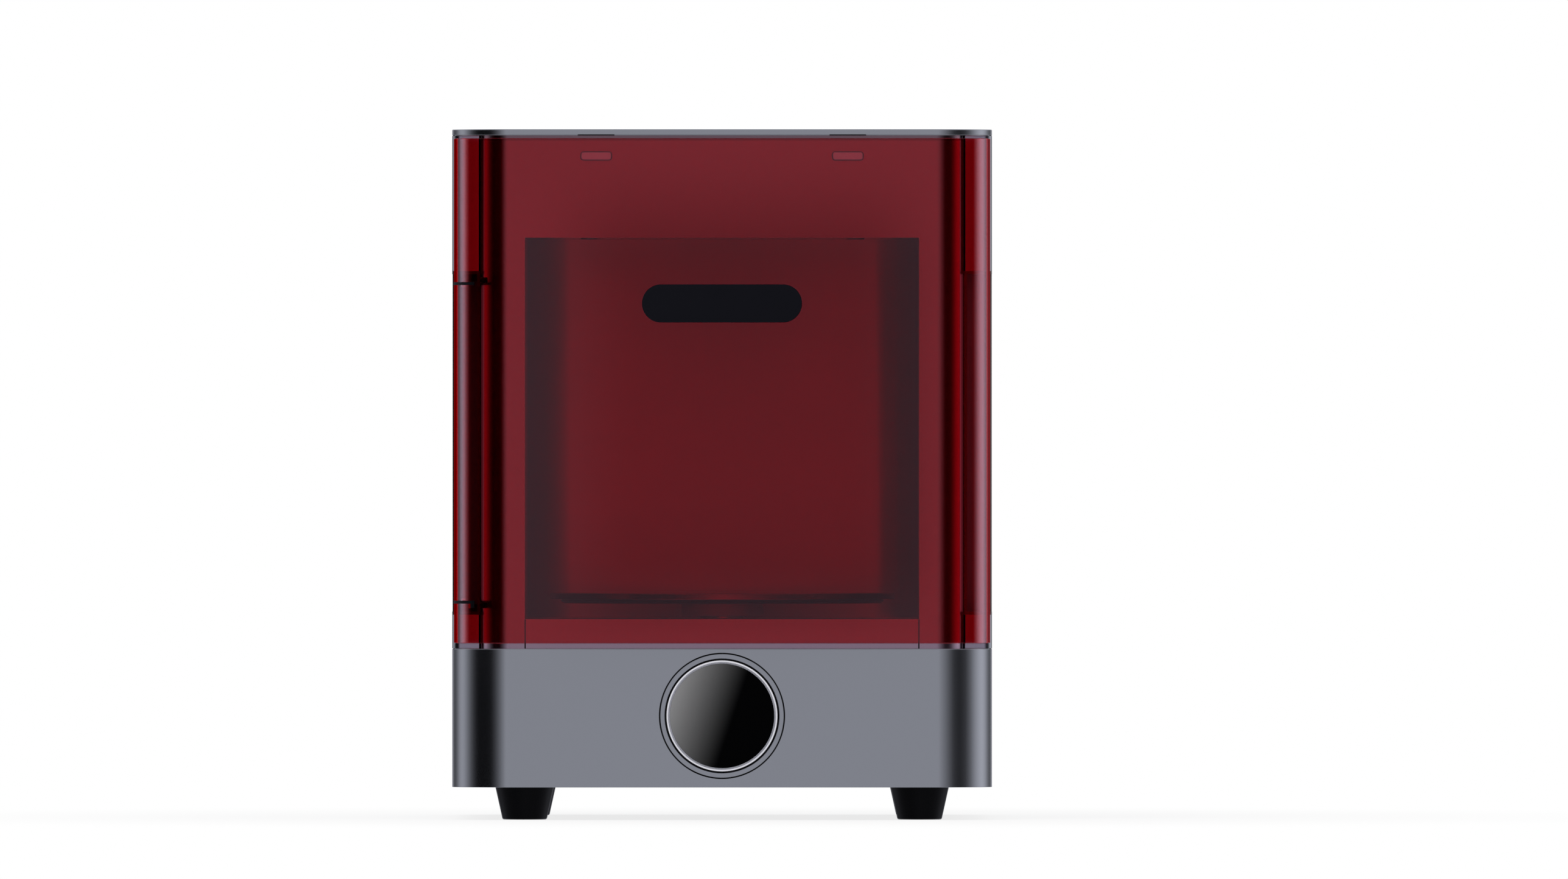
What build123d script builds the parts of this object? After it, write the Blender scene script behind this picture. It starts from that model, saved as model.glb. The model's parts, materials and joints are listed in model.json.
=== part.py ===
"""Dental lab light curing unit, in millimetres.

X runs to the right, Y to the back and Z up. The origin is on the floor, below the middle of the
unit. A grey base on four feet carries a round press-and-turn knob and the power entry. The curing
chamber with its turntable stands on the base, behind a U-shaped door of red acrylic that swings
to the left about two pins. Light-emitting diodes, their heat sink and a fan fill the top.
"""

from build123d import *
import os

os.makedirs("parts", exist_ok=True)

# ------------------------------------------------------------------ driving dimensions
width = 265.0
depth = 265.0
corner_radius = 27.0
foot_height = 16.0
base_height = 68.0
body_height = 252.0
lid_thickness = 3.0

running_fit = 0.03  # radial play of a shaft, pin or stem that turns or slides
seat_gap = 0.3  # play between a fixed piece and a moving one beside it
press_gap = 0.02  # radial play of a bush or pin that is pressed in
cut_margin = 2.0  # how far a cut reaches past the face that it opens

base_z = foot_height
deck_z = base_z + base_height
lid_z = deck_z + body_height
front_y = -depth / 2
rear_y = depth / 2


def front_plane(y, x=0.0, z=0.0):
    """Plane that faces the front: its own x runs along +X and its own y runs up."""
    return Plane(origin=(x, y, z), x_dir=(1, 0, 0), z_dir=(0, -1, 0))


def rear_plane(y, x=0.0, z=0.0):
    """Plane that faces the rear: its own x runs along -X and its own y runs up."""
    return Plane(origin=(x, y, z), x_dir=(-1, 0, 0), z_dir=(0, 1, 0))


def side_plane(x, y, z):
    """Plane that faces the right: its own x runs along +Y and its own y runs up."""
    return Plane(origin=(x, y, z), x_dir=(0, 1, 0), z_dir=(1, 0, 0))


def turned(plane, angle):
    """The plane turned about its own normal by angle degrees."""
    return Plane(plane.location * Location((0, 0, 0), (0, 0, angle)))


# ------------------------------------------------------------------ base housing and bottom plate
base_wall = 2.5
deck_thickness = 2.0
bottom_thickness = 2.0
bottom_clearance = 0.3
foot_inset = 35.5
foot_x = width / 2 - foot_inset
foot_y = depth / 2 - foot_inset
pillar_radius = 5.0
foot_screw_radius = 2.0
foot_screw_depth = 14.0
cable_hole_radius = 10.0
cable_hole_inset = 32.5

knob_height = 35.1  # the knob's axis above the base's underside
bezel_outer_radius = 30.5
bezel_groove = 0.4

shaft_radius = 3.0
deck_hole_radius = 6.0

tray_inset = 82.5  # from the unit's left side to the middle of the power entry
tray_opening_width = 94.0
tray_opening_height = 40.0
tray_corner = 4.0
tray_wall = 1.5
tray_depth = 5.0
tray_flange = 3.0

board_side_gap = 18.0
control_y = -20.0
control_width = 80.0
control_depth = 100.0
board_thickness = 1.6
board_corner = 2.0
board_hole_inset = 5.0
standoff_height = 6.0
standoff_radius = 3.0

vent_x = -60.0
vent_y = -45.0
vent_count = 8
vent_pitch = 9.0
vent_length = 60.0
vent_width = 3.0

door_thickness = 3.0
door_wrap = 20.0  # how far the door reaches back round the sides
frame_inset = 6.5  # from the door's outer face to the frame's front
frame_wall = 2.5
rear_space = 61.5  # between the chamber and the unit's back

knob_z = base_z + knob_height
tray_x = tray_inset - width / 2
power_z = base_z + base_height / 2
control_x = width / 2 - base_wall - board_side_gap - control_width / 2
frame_front_y = front_y + frame_inset
liner_front_y = frame_front_y + frame_wall
chamber_back_y = rear_y - rear_space
turn_y = (liner_front_y + chamber_back_y) / 2  # the turntable's axis

with BuildPart() as base_housing:
    with BuildSketch(Plane.XY.offset(base_z)):
        RectangleRounded(width, depth, corner_radius)
    extrude(amount=base_height)
    with BuildSketch(Plane.XY.offset(base_z)):
        RectangleRounded(width - 2 * base_wall, depth - 2 * base_wall, corner_radius - base_wall)
    extrude(amount=base_height - deck_thickness, mode=Mode.SUBTRACT)
    # screw pillars above the feet
    with BuildSketch(Plane.XY.offset(base_z + bottom_thickness)):
        with GridLocations(2 * foot_x, 2 * foot_y, 2, 2):
            Circle(pillar_radius)
    extrude(amount=base_height - deck_thickness - bottom_thickness)
    with BuildSketch(Plane.XY.offset(base_z + bottom_thickness)):
        with GridLocations(2 * foot_x, 2 * foot_y, 2, 2):
            Circle(foot_screw_radius)
    extrude(amount=foot_screw_depth, mode=Mode.SUBTRACT)
    # round hole for the knob's bezel
    with BuildSketch(front_plane(front_y, z=knob_z)):
        Circle(bezel_outer_radius + bezel_groove)
    extrude(amount=-base_wall, mode=Mode.SUBTRACT)
    # rear opening of the recessed power entry
    with BuildSketch(rear_plane(rear_y, tray_x, power_z)):
        RectangleRounded(tray_opening_width, tray_opening_height, tray_corner)
    extrude(amount=-base_wall, mode=Mode.SUBTRACT)
    # shaft and cable passages through the deck
    with BuildSketch(Plane.XY.offset(deck_z)):
        with Locations((0, turn_y)):
            Circle(deck_hole_radius)
        with Locations((0, rear_y - cable_hole_inset)):
            Circle(cable_hole_radius)
    extrude(amount=-deck_thickness, mode=Mode.SUBTRACT)
base_housing.part.label = "base_housing"
export_step(base_housing.part, "parts/base_housing.step")

bottom_inset = base_wall + bottom_clearance
with BuildPart() as base_plate:
    with BuildSketch(Plane.XY.offset(base_z)):
        RectangleRounded(
            width - 2 * bottom_inset, depth - 2 * bottom_inset, corner_radius - bottom_inset
        )
        with GridLocations(2 * foot_x, 2 * foot_y, 2, 2):
            Circle(foot_screw_radius, mode=Mode.SUBTRACT)
        with Locations((vent_x, vent_y)):
            with GridLocations(vent_pitch, 0, vent_count, 1):
                SlotOverall(vent_length, vent_width, rotation=90, mode=Mode.SUBTRACT)
    extrude(amount=bottom_thickness)
    with BuildSketch(Plane.XY.offset(base_z + bottom_thickness)):
        with Locations((control_x, control_y)):
            with GridLocations(
                control_width - 2 * board_hole_inset, control_depth - 2 * board_hole_inset, 2, 2
            ):
                Circle(standoff_radius)
    extrude(amount=standoff_height)
base_plate.part.label = "base_plate"
export_step(base_plate.part, "parts/base_plate.step")

# ------------------------------------------------------------------ feet
foot_top_diameter = 28.8
foot_bottom_diameter = 21.7
foot_bore_radius = 4.0
foot_bore_depth = 10.0

for side_name, side in (("left", -1), ("right", 1)):
    for end_name, end in (("front", -1), ("rear", 1)):
        with BuildPart() as foot:
            with BuildSketch(Plane.XY):
                with Locations((side * foot_x, end * foot_y)):
                    Circle(foot_bottom_diameter / 2)
            with BuildSketch(Plane.XY.offset(foot_height)):
                with Locations((side * foot_x, end * foot_y)):
                    Circle(foot_top_diameter / 2)
            loft()
            with BuildSketch(Plane.XY):
                with Locations((side * foot_x, end * foot_y)):
                    Circle(foot_bore_radius)
            extrude(amount=foot_bore_depth, mode=Mode.SUBTRACT)
            with BuildSketch(Plane.XY.offset(foot_bore_depth)):
                with Locations((side * foot_x, end * foot_y)):
                    Circle(foot_screw_radius)
            extrude(amount=foot_height - foot_bore_depth, mode=Mode.SUBTRACT)
        foot.part.label = f"foot_{end_name}_{side_name}"
        export_step(foot.part, f"parts/foot_{end_name}_{side_name}.step")

# ------------------------------------------------------------------ electronics in the base
supply_pillar_gap = 4.0
supply_width = 104.0
supply_depth = 60.0
supply_height = 36.0
supply_corner = 2.0
supply_slot_width = 2.5
supply_slot_length = 40.0
supply_slot_depth = 1.5
supply_slot_pitch = 8.0
supply_slot_count = 10

supply_x = base_wall + board_side_gap + supply_width / 2 - width / 2
supply_y = foot_y - pillar_radius - supply_pillar_gap - supply_depth / 2
supply_z = base_z + bottom_thickness
with BuildPart() as power_supply:
    with BuildSketch(Plane.XY.offset(supply_z)):
        with Locations((supply_x, supply_y)):
            RectangleRounded(supply_width, supply_depth, supply_corner)
    extrude(amount=supply_height)
    with BuildSketch(Plane.XY.offset(supply_z + supply_height)):
        with Locations((supply_x, supply_y)):
            with GridLocations(supply_slot_pitch, 0, supply_slot_count, 1):
                SlotOverall(supply_slot_length, supply_slot_width, rotation=90)
    extrude(amount=-supply_slot_depth, mode=Mode.SUBTRACT)
power_supply.part.label = "power_supply"
export_step(power_supply.part, "parts/power_supply.step")

chip_size = 14.0
chip_height = 2.0
chip_offset = 16.0
capacitor_radius = 5.0
capacitor_height = 16.0
capacitor_pitch = 15.0
capacitor_count = 3
capacitor_offset = 20.0
connector_pitch = 31.2
connector_length = 24.0
connector_depth = 8.0
connector_height = 10.0
part_sink = 0.2  # components reach this far into the board that carries them

control_z = supply_z + standoff_height
with BuildPart() as control_board:
    with BuildSketch(Plane.XY.offset(control_z)):
        with Locations((control_x, control_y)):
            RectangleRounded(control_width, control_depth, board_corner)
            with GridLocations(
                control_width - 2 * board_hole_inset, control_depth - 2 * board_hole_inset, 2, 2
            ):
                Circle(foot_screw_radius, mode=Mode.SUBTRACT)
    extrude(amount=board_thickness)
    with BuildSketch(Plane.XY.offset(control_z + board_thickness - part_sink)):
        with Locations((control_x - chip_offset, control_y)):
            Rectangle(chip_size, chip_size)
    extrude(amount=chip_height + part_sink)
    with BuildSketch(Plane.XY.offset(control_z + board_thickness - part_sink)):
        with Locations((control_x + capacitor_offset, control_y + capacitor_offset)):
            with GridLocations(0, capacitor_pitch, 1, capacitor_count):
                Circle(capacitor_radius)
    extrude(amount=capacitor_height + part_sink)
    with BuildSketch(Plane.XY.offset(control_z + board_thickness - part_sink)):
        with Locations((control_x, control_y - control_depth / 2 + connector_depth)):
            with GridLocations(connector_pitch, 0, 2, 1):
                Rectangle(connector_length, connector_depth)
    extrude(amount=connector_height + part_sink)
control_board.part.label = "control_board"
export_step(control_board.part, "parts/control_board.step")

gearbox_radius = 18.5
gearbox_height = 24.0
motor_radius = 17.5
motor_height = 28.0
motor_chamfer = 1.5
gearbox_bore_depth = 8.0

deck_bottom_z = deck_z - deck_thickness
with BuildPart() as gearmotor:
    with BuildSketch(Plane.XY.offset(deck_bottom_z)):
        with Locations((0, turn_y)):
            Circle(gearbox_radius)
    extrude(amount=-gearbox_height)
    with BuildSketch(Plane.XY.offset(deck_bottom_z - gearbox_height)):
        with Locations((0, turn_y)):
            Circle(motor_radius)
    extrude(amount=-motor_height)
    chamfer(gearmotor.edges().group_by(Axis.Z)[0], motor_chamfer)
    with BuildSketch(Plane.XY.offset(deck_bottom_z)):
        with Locations((0, turn_y)):
            Circle(shaft_radius + running_fit)
    extrude(amount=-gearbox_bore_depth, mode=Mode.SUBTRACT)
gearmotor.part.label = "gearmotor"
export_step(gearmotor.part, "parts/gearmotor.step")

# ------------------------------------------------------------------ recessed power entry
tray_back_y = rear_y - base_wall  # the tray's flange lies on the inside of the rear wall
tray_floor_y = rear_y - tray_depth - tray_wall  # outer face of the tray's floor
inlet_offset = 18.0  # from the middle of the power entry
rocker_offset = 28.0
inlet_body_width = 28.0
inlet_body_height = 20.6
inlet_body_depth = 19.0
switch_body_width = 13.0
switch_body_height = 20.2
switch_body_depth = 15.0
entry_clearance = 0.1

inlet_x = tray_x - inlet_offset
rocker_x = tray_x + rocker_offset
with BuildPart() as power_tray:
    with BuildSketch(rear_plane(tray_back_y, tray_x, power_z)):
        RectangleRounded(
            tray_opening_width + 2 * (tray_wall + tray_flange),
            tray_opening_height + 2 * (tray_wall + tray_flange),
            tray_corner + tray_wall + tray_flange,
        )
    extrude(amount=-tray_wall)
    with BuildSketch(rear_plane(tray_back_y, tray_x, power_z)):
        RectangleRounded(
            tray_opening_width + 2 * tray_wall,
            tray_opening_height + 2 * tray_wall,
            tray_corner + tray_wall,
        )
    extrude(amount=tray_floor_y - tray_wall - tray_back_y)
    with BuildSketch(rear_plane(tray_back_y, tray_x, power_z)):
        RectangleRounded(tray_opening_width, tray_opening_height, tray_corner)
    extrude(amount=tray_floor_y - tray_back_y, mode=Mode.SUBTRACT)
    with BuildSketch(rear_plane(tray_floor_y, inlet_x, power_z)):
        Rectangle(inlet_body_width + 2 * entry_clearance, inlet_body_height + 2 * entry_clearance)
    extrude(amount=-tray_wall, mode=Mode.SUBTRACT)
    with BuildSketch(rear_plane(tray_floor_y, rocker_x, power_z)):
        Rectangle(switch_body_width + 2 * entry_clearance, switch_body_height + 2 * entry_clearance)
    extrude(amount=-tray_wall, mode=Mode.SUBTRACT)
power_tray.part.label = "power_tray"
export_step(power_tray.part, "parts/power_tray.step")

inlet_flange_width = 46.0
inlet_flange_height = 26.0
inlet_flange_thickness = 2.0
inlet_flange_corner = 4.0
socket_width = 24.4
socket_height = 16.4
socket_chamfer = 5.0
socket_depth = 15.0
blade_width = 2.0
blade_height = 4.0
blade_length = 9.5
blade_spacing = 7.0
blade_rise = 2.0
blade_chamfer = 0.5
tab_length = 6.0

inlet_face_y = tray_floor_y + inlet_flange_thickness
socket_floor_y = inlet_face_y - socket_depth
with BuildPart() as power_inlet:
    with BuildSketch(rear_plane(tray_floor_y, inlet_x, power_z)):
        RectangleRounded(inlet_flange_width, inlet_flange_height, inlet_flange_corner)
    extrude(amount=inlet_flange_thickness)
    with BuildSketch(rear_plane(tray_floor_y, inlet_x, power_z)):
        Rectangle(inlet_body_width, inlet_body_height)
    extrude(amount=-inlet_body_depth)
    with BuildSketch(rear_plane(inlet_face_y, inlet_x, power_z)) as socket_outline:
        Rectangle(socket_width, socket_height)
        chamfer(socket_outline.vertices().group_by(Axis.Y)[-1], socket_chamfer)
    extrude(amount=-socket_depth, mode=Mode.SUBTRACT)
    # passages of the three contact blades through the socket's floor
    with BuildSketch(rear_plane(socket_floor_y, inlet_x, power_z)):
        with Locations((-blade_spacing, -blade_rise), (0, blade_rise), (blade_spacing, -blade_rise)):
            Rectangle(blade_width + 2 * press_gap, blade_height + 2 * press_gap)
    extrude(amount=socket_floor_y - tray_floor_y - inlet_body_depth, mode=Mode.SUBTRACT)
power_inlet.part.label = "power_inlet"
export_step(power_inlet.part, "parts/power_inlet.step")

inlet_back_y = tray_floor_y - inlet_body_depth
blade_names = ("inlet_blade_line", "inlet_blade_earth", "inlet_blade_neutral")
for index, blade_name in enumerate(blade_names):
    offset_x = (index - 1) * blade_spacing
    offset_z = blade_rise if index == 1 else -blade_rise
    with BuildPart() as inlet_blade:
        with BuildSketch(rear_plane(inlet_back_y - tab_length, inlet_x - offset_x, power_z + offset_z)):
            Rectangle(blade_width, blade_height)
        extrude(amount=tab_length + socket_floor_y + blade_length - inlet_back_y)
        chamfer(inlet_blade.edges().group_by(Axis.Y)[-1], blade_chamfer)
    inlet_blade.part.label = blade_name
    export_step(inlet_blade.part, f"parts/{blade_name}.step")

switch_flange_width = 15.0
switch_flange_height = 23.0
switch_flange_thickness = 1.5
switch_flange_corner = 1.5
switch_wall = 1.0
switch_cavity_depth = 11.0
rocker_tilt = 8.0  # degrees either side of level
rocker_pivot_depth = 1.0  # below the switch's face
rocker_side_gap = 0.3
rocker_half_height = 8.4
rocker_rise = 3.2
rocker_dip = 1.8
rocker_root_half = 3.0
rocker_root_depth = 6.0
axle_radius = 1.2
axle_reach = 0.7

switch_face_y = tray_floor_y + switch_flange_thickness
rocker_pivot_y = switch_face_y - rocker_pivot_depth
switch_cavity_width = switch_body_width - 2 * switch_wall
switch_cavity_height = switch_body_height - 2 * switch_wall
with BuildPart() as rocker_frame:
    with BuildSketch(rear_plane(tray_floor_y, rocker_x, power_z)):
        RectangleRounded(switch_flange_width, switch_flange_height, switch_flange_corner)
    extrude(amount=switch_flange_thickness)
    with BuildSketch(rear_plane(tray_floor_y, rocker_x, power_z)):
        Rectangle(switch_body_width, switch_body_height)
    extrude(amount=-switch_body_depth)
    with BuildSketch(rear_plane(switch_face_y, rocker_x, power_z)):
        Rectangle(switch_cavity_width, switch_cavity_height)
    extrude(amount=-switch_cavity_depth, mode=Mode.SUBTRACT)
    # blind bearings of the rocker's axle
    with BuildSketch(side_plane(rocker_x, rocker_pivot_y, power_z)):
        Circle(axle_radius + running_fit)
    extrude(amount=switch_cavity_width / 2 + axle_reach + running_fit, both=True, mode=Mode.SUBTRACT)
rocker_frame.part.label = "rocker_frame"
export_step(rocker_frame.part, "parts/rocker_frame.step")

# The rocker rests with its lower end pressed in, which is off.
tilted = turned(side_plane(rocker_x, rocker_pivot_y, power_z), rocker_tilt)
with BuildPart() as rocker:
    with BuildSketch(tilted):
        with BuildLine():
            Polyline(
                (-rocker_root_depth, -rocker_root_half),
                (0, -rocker_half_height),
                (rocker_rise, -rocker_half_height),
                (rocker_dip, 0),
                (rocker_rise, rocker_half_height),
                (0, rocker_half_height),
                (-rocker_root_depth, rocker_root_half),
                close=True,
            )
        make_face()
    extrude(amount=switch_cavity_width / 2 - rocker_side_gap, both=True)
    with BuildSketch(tilted):
        Circle(axle_radius)
    extrude(amount=switch_cavity_width / 2 + axle_reach, both=True)
rocker.part.label = "rocker"
export_step(rocker.part, "parts/rocker.step")

# ------------------------------------------------------------------ press-and-turn knob
knob_proud = 1.5
bezel_bore_radius = 27.8
bezel_flange_width = 86.0
bezel_flange_height = 54.0
bezel_flange_corner = 6.0
bezel_flange_thickness = 3.0
ring_radius = 27.2
ring_lip = 1.35
ring_chamfer = 0.6
ring_length = 16.0
glass_edge_gap = 0.25
glass_thickness = 2.0
glass_recess = 0.4
glass_chamfer = 0.5
carriage_radius = 24.0
carriage_flange_radius = 26.5
carriage_flange_thickness = 2.0
stem_radius = 5.0
stem_length = 15.7
display_radius = 18.2
display_depth = 4.0
bracket_wall = 3.0
bracket_depth = 19.0
bracket_plate = 3.0
sleeve_radius = 9.0
sleeve_length = 14.0
encoder_size = 42.0
encoder_gap = 2.0  # from the stem's end to the board
encoder_connector_drop = 10.5
encoder_connector_height = 5.0
button_radius = 3.2
button_gap = 1.1

ring_front_y = front_y - knob_proud
ring_back_y = ring_front_y + ring_length
glass_front_y = ring_front_y + glass_recess
glass_back_y = glass_front_y + glass_thickness
ring_step_y = glass_back_y + seat_gap
ring_mouth_radius = ring_radius - ring_lip
ring_bore_radius = carriage_radius + running_fit
carriage_back_y = ring_back_y + seat_gap
stem_start_y = carriage_back_y + carriage_flange_thickness
stem_end_y = stem_start_y + stem_length
bezel_flange_y = front_y + base_wall
bracket_front_y = bezel_flange_y + bezel_flange_thickness
bracket_back_y = bracket_front_y + bracket_depth
encoder_y = stem_end_y + encoder_gap
knob_axis = Axis((0, 0, knob_z), (0, 1, 0))

with BuildPart() as knob_bezel:
    with BuildSketch(front_plane(front_y, z=knob_z)):
        Circle(bezel_outer_radius)
        Circle(bezel_bore_radius, mode=Mode.SUBTRACT)
    extrude(amount=front_y - bracket_front_y)
    with BuildSketch(front_plane(bezel_flange_y, z=knob_z)):
        RectangleRounded(bezel_flange_width, bezel_flange_height, bezel_flange_corner)
        Circle(bezel_outer_radius)
        Circle(bezel_bore_radius, mode=Mode.SUBTRACT)
    extrude(amount=-bezel_flange_thickness)
knob_bezel.part.label = "knob_bezel"
export_step(knob_bezel.part, "parts/knob_bezel.step")

with BuildPart() as knob_ring:
    with BuildSketch(Plane.XY.offset(knob_z)):
        with BuildLine():
            Polyline(
                (ring_mouth_radius, ring_front_y + ring_chamfer / 2),
                (ring_mouth_radius + ring_chamfer / 2, ring_front_y),
                (ring_radius - ring_chamfer, ring_front_y),
                (ring_radius, ring_front_y + ring_chamfer),
                (ring_radius, ring_back_y),
                (ring_bore_radius, ring_back_y),
                (ring_bore_radius, ring_step_y),
                (ring_mouth_radius, ring_step_y),
                close=True,
            )
        make_face()
    revolve(axis=knob_axis)
knob_ring.part.label = "knob_ring"
export_step(knob_ring.part, "parts/knob_ring.step")

with BuildPart() as knob_glass:
    with BuildSketch(front_plane(glass_back_y, z=knob_z)):
        Circle(ring_mouth_radius - glass_edge_gap)
    extrude(amount=glass_thickness)
    chamfer(knob_glass.edges().group_by(Axis.Y)[0], glass_chamfer)
knob_glass.part.label = "knob_glass"
export_step(knob_glass.part, "parts/knob_glass.step")

with BuildPart() as knob_carriage:
    with BuildSketch(front_plane(glass_back_y, z=knob_z)):
        Circle(carriage_radius)
    extrude(amount=glass_back_y - carriage_back_y)
    with BuildSketch(front_plane(carriage_back_y, z=knob_z)):
        Circle(carriage_flange_radius)
    extrude(amount=-carriage_flange_thickness)
    with BuildSketch(front_plane(stem_start_y, z=knob_z)):
        Circle(stem_radius)
    extrude(amount=-stem_length)
    with BuildSketch(front_plane(glass_back_y, z=knob_z)):
        Circle(display_radius)
    extrude(amount=-display_depth, mode=Mode.SUBTRACT)
knob_carriage.part.label = "knob_carriage"
export_step(knob_carriage.part, "parts/knob_carriage.step")

with BuildPart() as display_module:
    with BuildSketch(front_plane(glass_back_y, z=knob_z)):
        Circle(display_radius - press_gap)
    extrude(amount=-display_depth)
display_module.part.label = "display_module"
export_step(display_module.part, "parts/display_module.step")

with BuildPart() as knob_bracket:
    with BuildSketch(front_plane(bracket_front_y, z=knob_z)):
        Circle(bezel_outer_radius)
        Circle(bezel_outer_radius - bracket_wall, mode=Mode.SUBTRACT)
    extrude(amount=bracket_front_y - bracket_back_y)
    with BuildSketch(front_plane(bracket_back_y, z=knob_z)):
        Circle(bezel_outer_radius)
    extrude(amount=-bracket_plate)
    with BuildSketch(front_plane(encoder_y, z=knob_z)):
        Circle(sleeve_radius)
    extrude(amount=sleeve_length)
    with BuildSketch(front_plane(encoder_y, z=knob_z)):
        Circle(stem_radius + running_fit)
    extrude(amount=sleeve_length, mode=Mode.SUBTRACT)
knob_bracket.part.label = "knob_bracket"
export_step(knob_bracket.part, "parts/knob_bracket.step")

with BuildPart() as encoder_board:
    with BuildSketch(front_plane(encoder_y, z=knob_z)):
        RectangleRounded(encoder_size, encoder_size, board_corner)
    extrude(amount=-board_thickness)
    with BuildSketch(front_plane(encoder_y, z=knob_z)):
        Circle(button_radius)
    extrude(amount=encoder_y - stem_end_y - button_gap)
    with BuildSketch(front_plane(encoder_y + board_thickness - part_sink, z=knob_z)):
        with Locations((0, -encoder_connector_drop)):
            Rectangle(connector_length, connector_depth)
    extrude(amount=-encoder_connector_height)
encoder_board.part.label = "encoder_board"
export_step(encoder_board.part, "parts/encoder_board.step")

# ------------------------------------------------------------------ door and hinge sizes
door_gap_below = 2.7
door_gap_above = 1.7
panel_gap = 2.5  # from the door's trailing edges to the side panels

hinge_side_inset = 5.9
hinge_setback = 7.0  # from the side panel's front edge to the pin
arm_width = 10.2
arm_thickness = 1.4
arm_slot_gap = 0.05
arm_from_end = 4.0  # from the end of the side recess to the arm
lug_width = 1.8
lug_height = 2.2
lug_depth = 5.0
pin_radius = 2.0
pin_overhang = 0.9

recess_rise = 18.1  # from the deck to the side recesses
recess_drop = 68.2  # from the lid's underside to the side recesses
recess_depth = 22.0

door_bottom_z = deck_z + door_gap_below
door_top_z = lid_z - door_gap_above
door_trail_y = front_y + door_wrap
panel_front_y = door_trail_y + panel_gap
recess_bottom_z = deck_z + recess_rise
recess_top_z = lid_z - recess_drop
hinge_x = hinge_side_inset - width / 2
hinge_y = panel_front_y + hinge_setback

# ------------------------------------------------------------------ outer shell with vents
shell_wall = 2.0
flange_reach = 13.8
flange_outer_inset = 1.5
pocket_wall = 1.5
fan_drop = 38.0  # from the lid's underside to the fan's axis
fan_size = 60.0
fan_hole_radius = 28.0
slot_count = 13
slot_pitch = 8.0
slot_length = 34.0
slot_width = 3.0
slot_row_heights = (48.0, 92.0)  # above the deck
driver_width = 120.0
driver_height = 60.0
driver_fan_gap = 12.0  # from the fan's underside to the board
driver_gap = 7.0
driver_post_radius = 3.0
driver_hole_radius = 1.5
driver_chip_size = 19.6
driver_chip_corner = 1.0
driver_chip_pitch = 30.0
driver_chip_count = 3

fan_z = lid_z - fan_drop
driver_z = fan_z - fan_size / 2 - driver_fan_gap - driver_height / 2
shell_inner_y = rear_y - shell_wall
flange_inner_x = width / 2 - flange_reach
flange_outer_x = width / 2 - flange_outer_inset
pocket_back_y = panel_front_y + recess_depth
pocket_end_y = pocket_back_y + pocket_wall
pocket_low_z = recess_bottom_z - pocket_wall
pocket_high_z = recess_top_z + pocket_wall

with BuildPart() as outer_shell:
    with BuildSketch(Plane.XY.offset(deck_z)):
        RectangleRounded(width, depth, corner_radius)
        RectangleRounded(
            width - 2 * shell_wall,
            depth - 2 * shell_wall,
            corner_radius - shell_wall,
            mode=Mode.SUBTRACT,
        )
        with Locations((0, (front_y + panel_front_y) / 2)):
            Rectangle(width + cut_margin, panel_front_y - front_y, mode=Mode.SUBTRACT)
        # return flanges that face the door's trailing edges
        with Locations((0, panel_front_y + shell_wall / 2)):
            with GridLocations(flange_inner_x + flange_outer_x, 0, 2, 1):
                Rectangle(flange_outer_x - flange_inner_x, shell_wall)
    extrude(amount=body_height)
    # side recesses
    with BuildSketch(Plane.XY.offset(pocket_low_z)):
        with Locations((0, (panel_front_y + pocket_end_y) / 2)):
            with GridLocations(flange_inner_x + width / 2, 0, 2, 1):
                Rectangle(width / 2 - flange_inner_x + cut_margin, pocket_end_y - panel_front_y)
    extrude(amount=pocket_high_z - pocket_low_z, mode=Mode.SUBTRACT)
    # fan hole and vent slots in the back
    with BuildSketch(rear_plane(rear_y, z=fan_z)):
        Circle(fan_hole_radius)
    extrude(amount=-shell_wall, mode=Mode.SUBTRACT)
    with BuildSketch(rear_plane(rear_y)):
        for row_height in slot_row_heights:
            with Locations((0, deck_z + row_height)):
                with GridLocations(slot_pitch, 0, slot_count, 1):
                    SlotOverall(slot_length, slot_width, rotation=90)
    extrude(amount=-shell_wall, mode=Mode.SUBTRACT)
    # pressed-in posts for the driver board
    with BuildSketch(rear_plane(shell_inner_y, z=driver_z)):
        with GridLocations(
            driver_width - 2 * board_hole_inset, driver_height - 2 * board_hole_inset, 2, 2
        ):
            Circle(driver_post_radius)
    extrude(amount=-driver_gap)
outer_shell.part.label = "outer_shell"
export_step(outer_shell.part, "parts/outer_shell.step")

with BuildPart() as driver_board:
    with BuildSketch(rear_plane(shell_inner_y - driver_gap, z=driver_z)):
        RectangleRounded(driver_width, driver_height, board_corner)
        with GridLocations(
            driver_width - 2 * board_hole_inset, driver_height - 2 * board_hole_inset, 2, 2
        ):
            Circle(driver_hole_radius, mode=Mode.SUBTRACT)
    extrude(amount=-board_thickness)
    with BuildSketch(rear_plane(shell_inner_y - driver_gap - board_thickness + part_sink, z=driver_z)):
        with GridLocations(driver_chip_pitch, 0, driver_chip_count, 1):
            RectangleRounded(driver_chip_size, driver_chip_size, driver_chip_corner)
    extrude(amount=-connector_height)
driver_board.part.label = "driver_board"
export_step(driver_board.part, "parts/driver_board.step")

# ------------------------------------------------------------------ side pockets
pocket_frame_gap = 0.3
frame_side_inset = 14.2  # from the unit's side to the front frame's side

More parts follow.
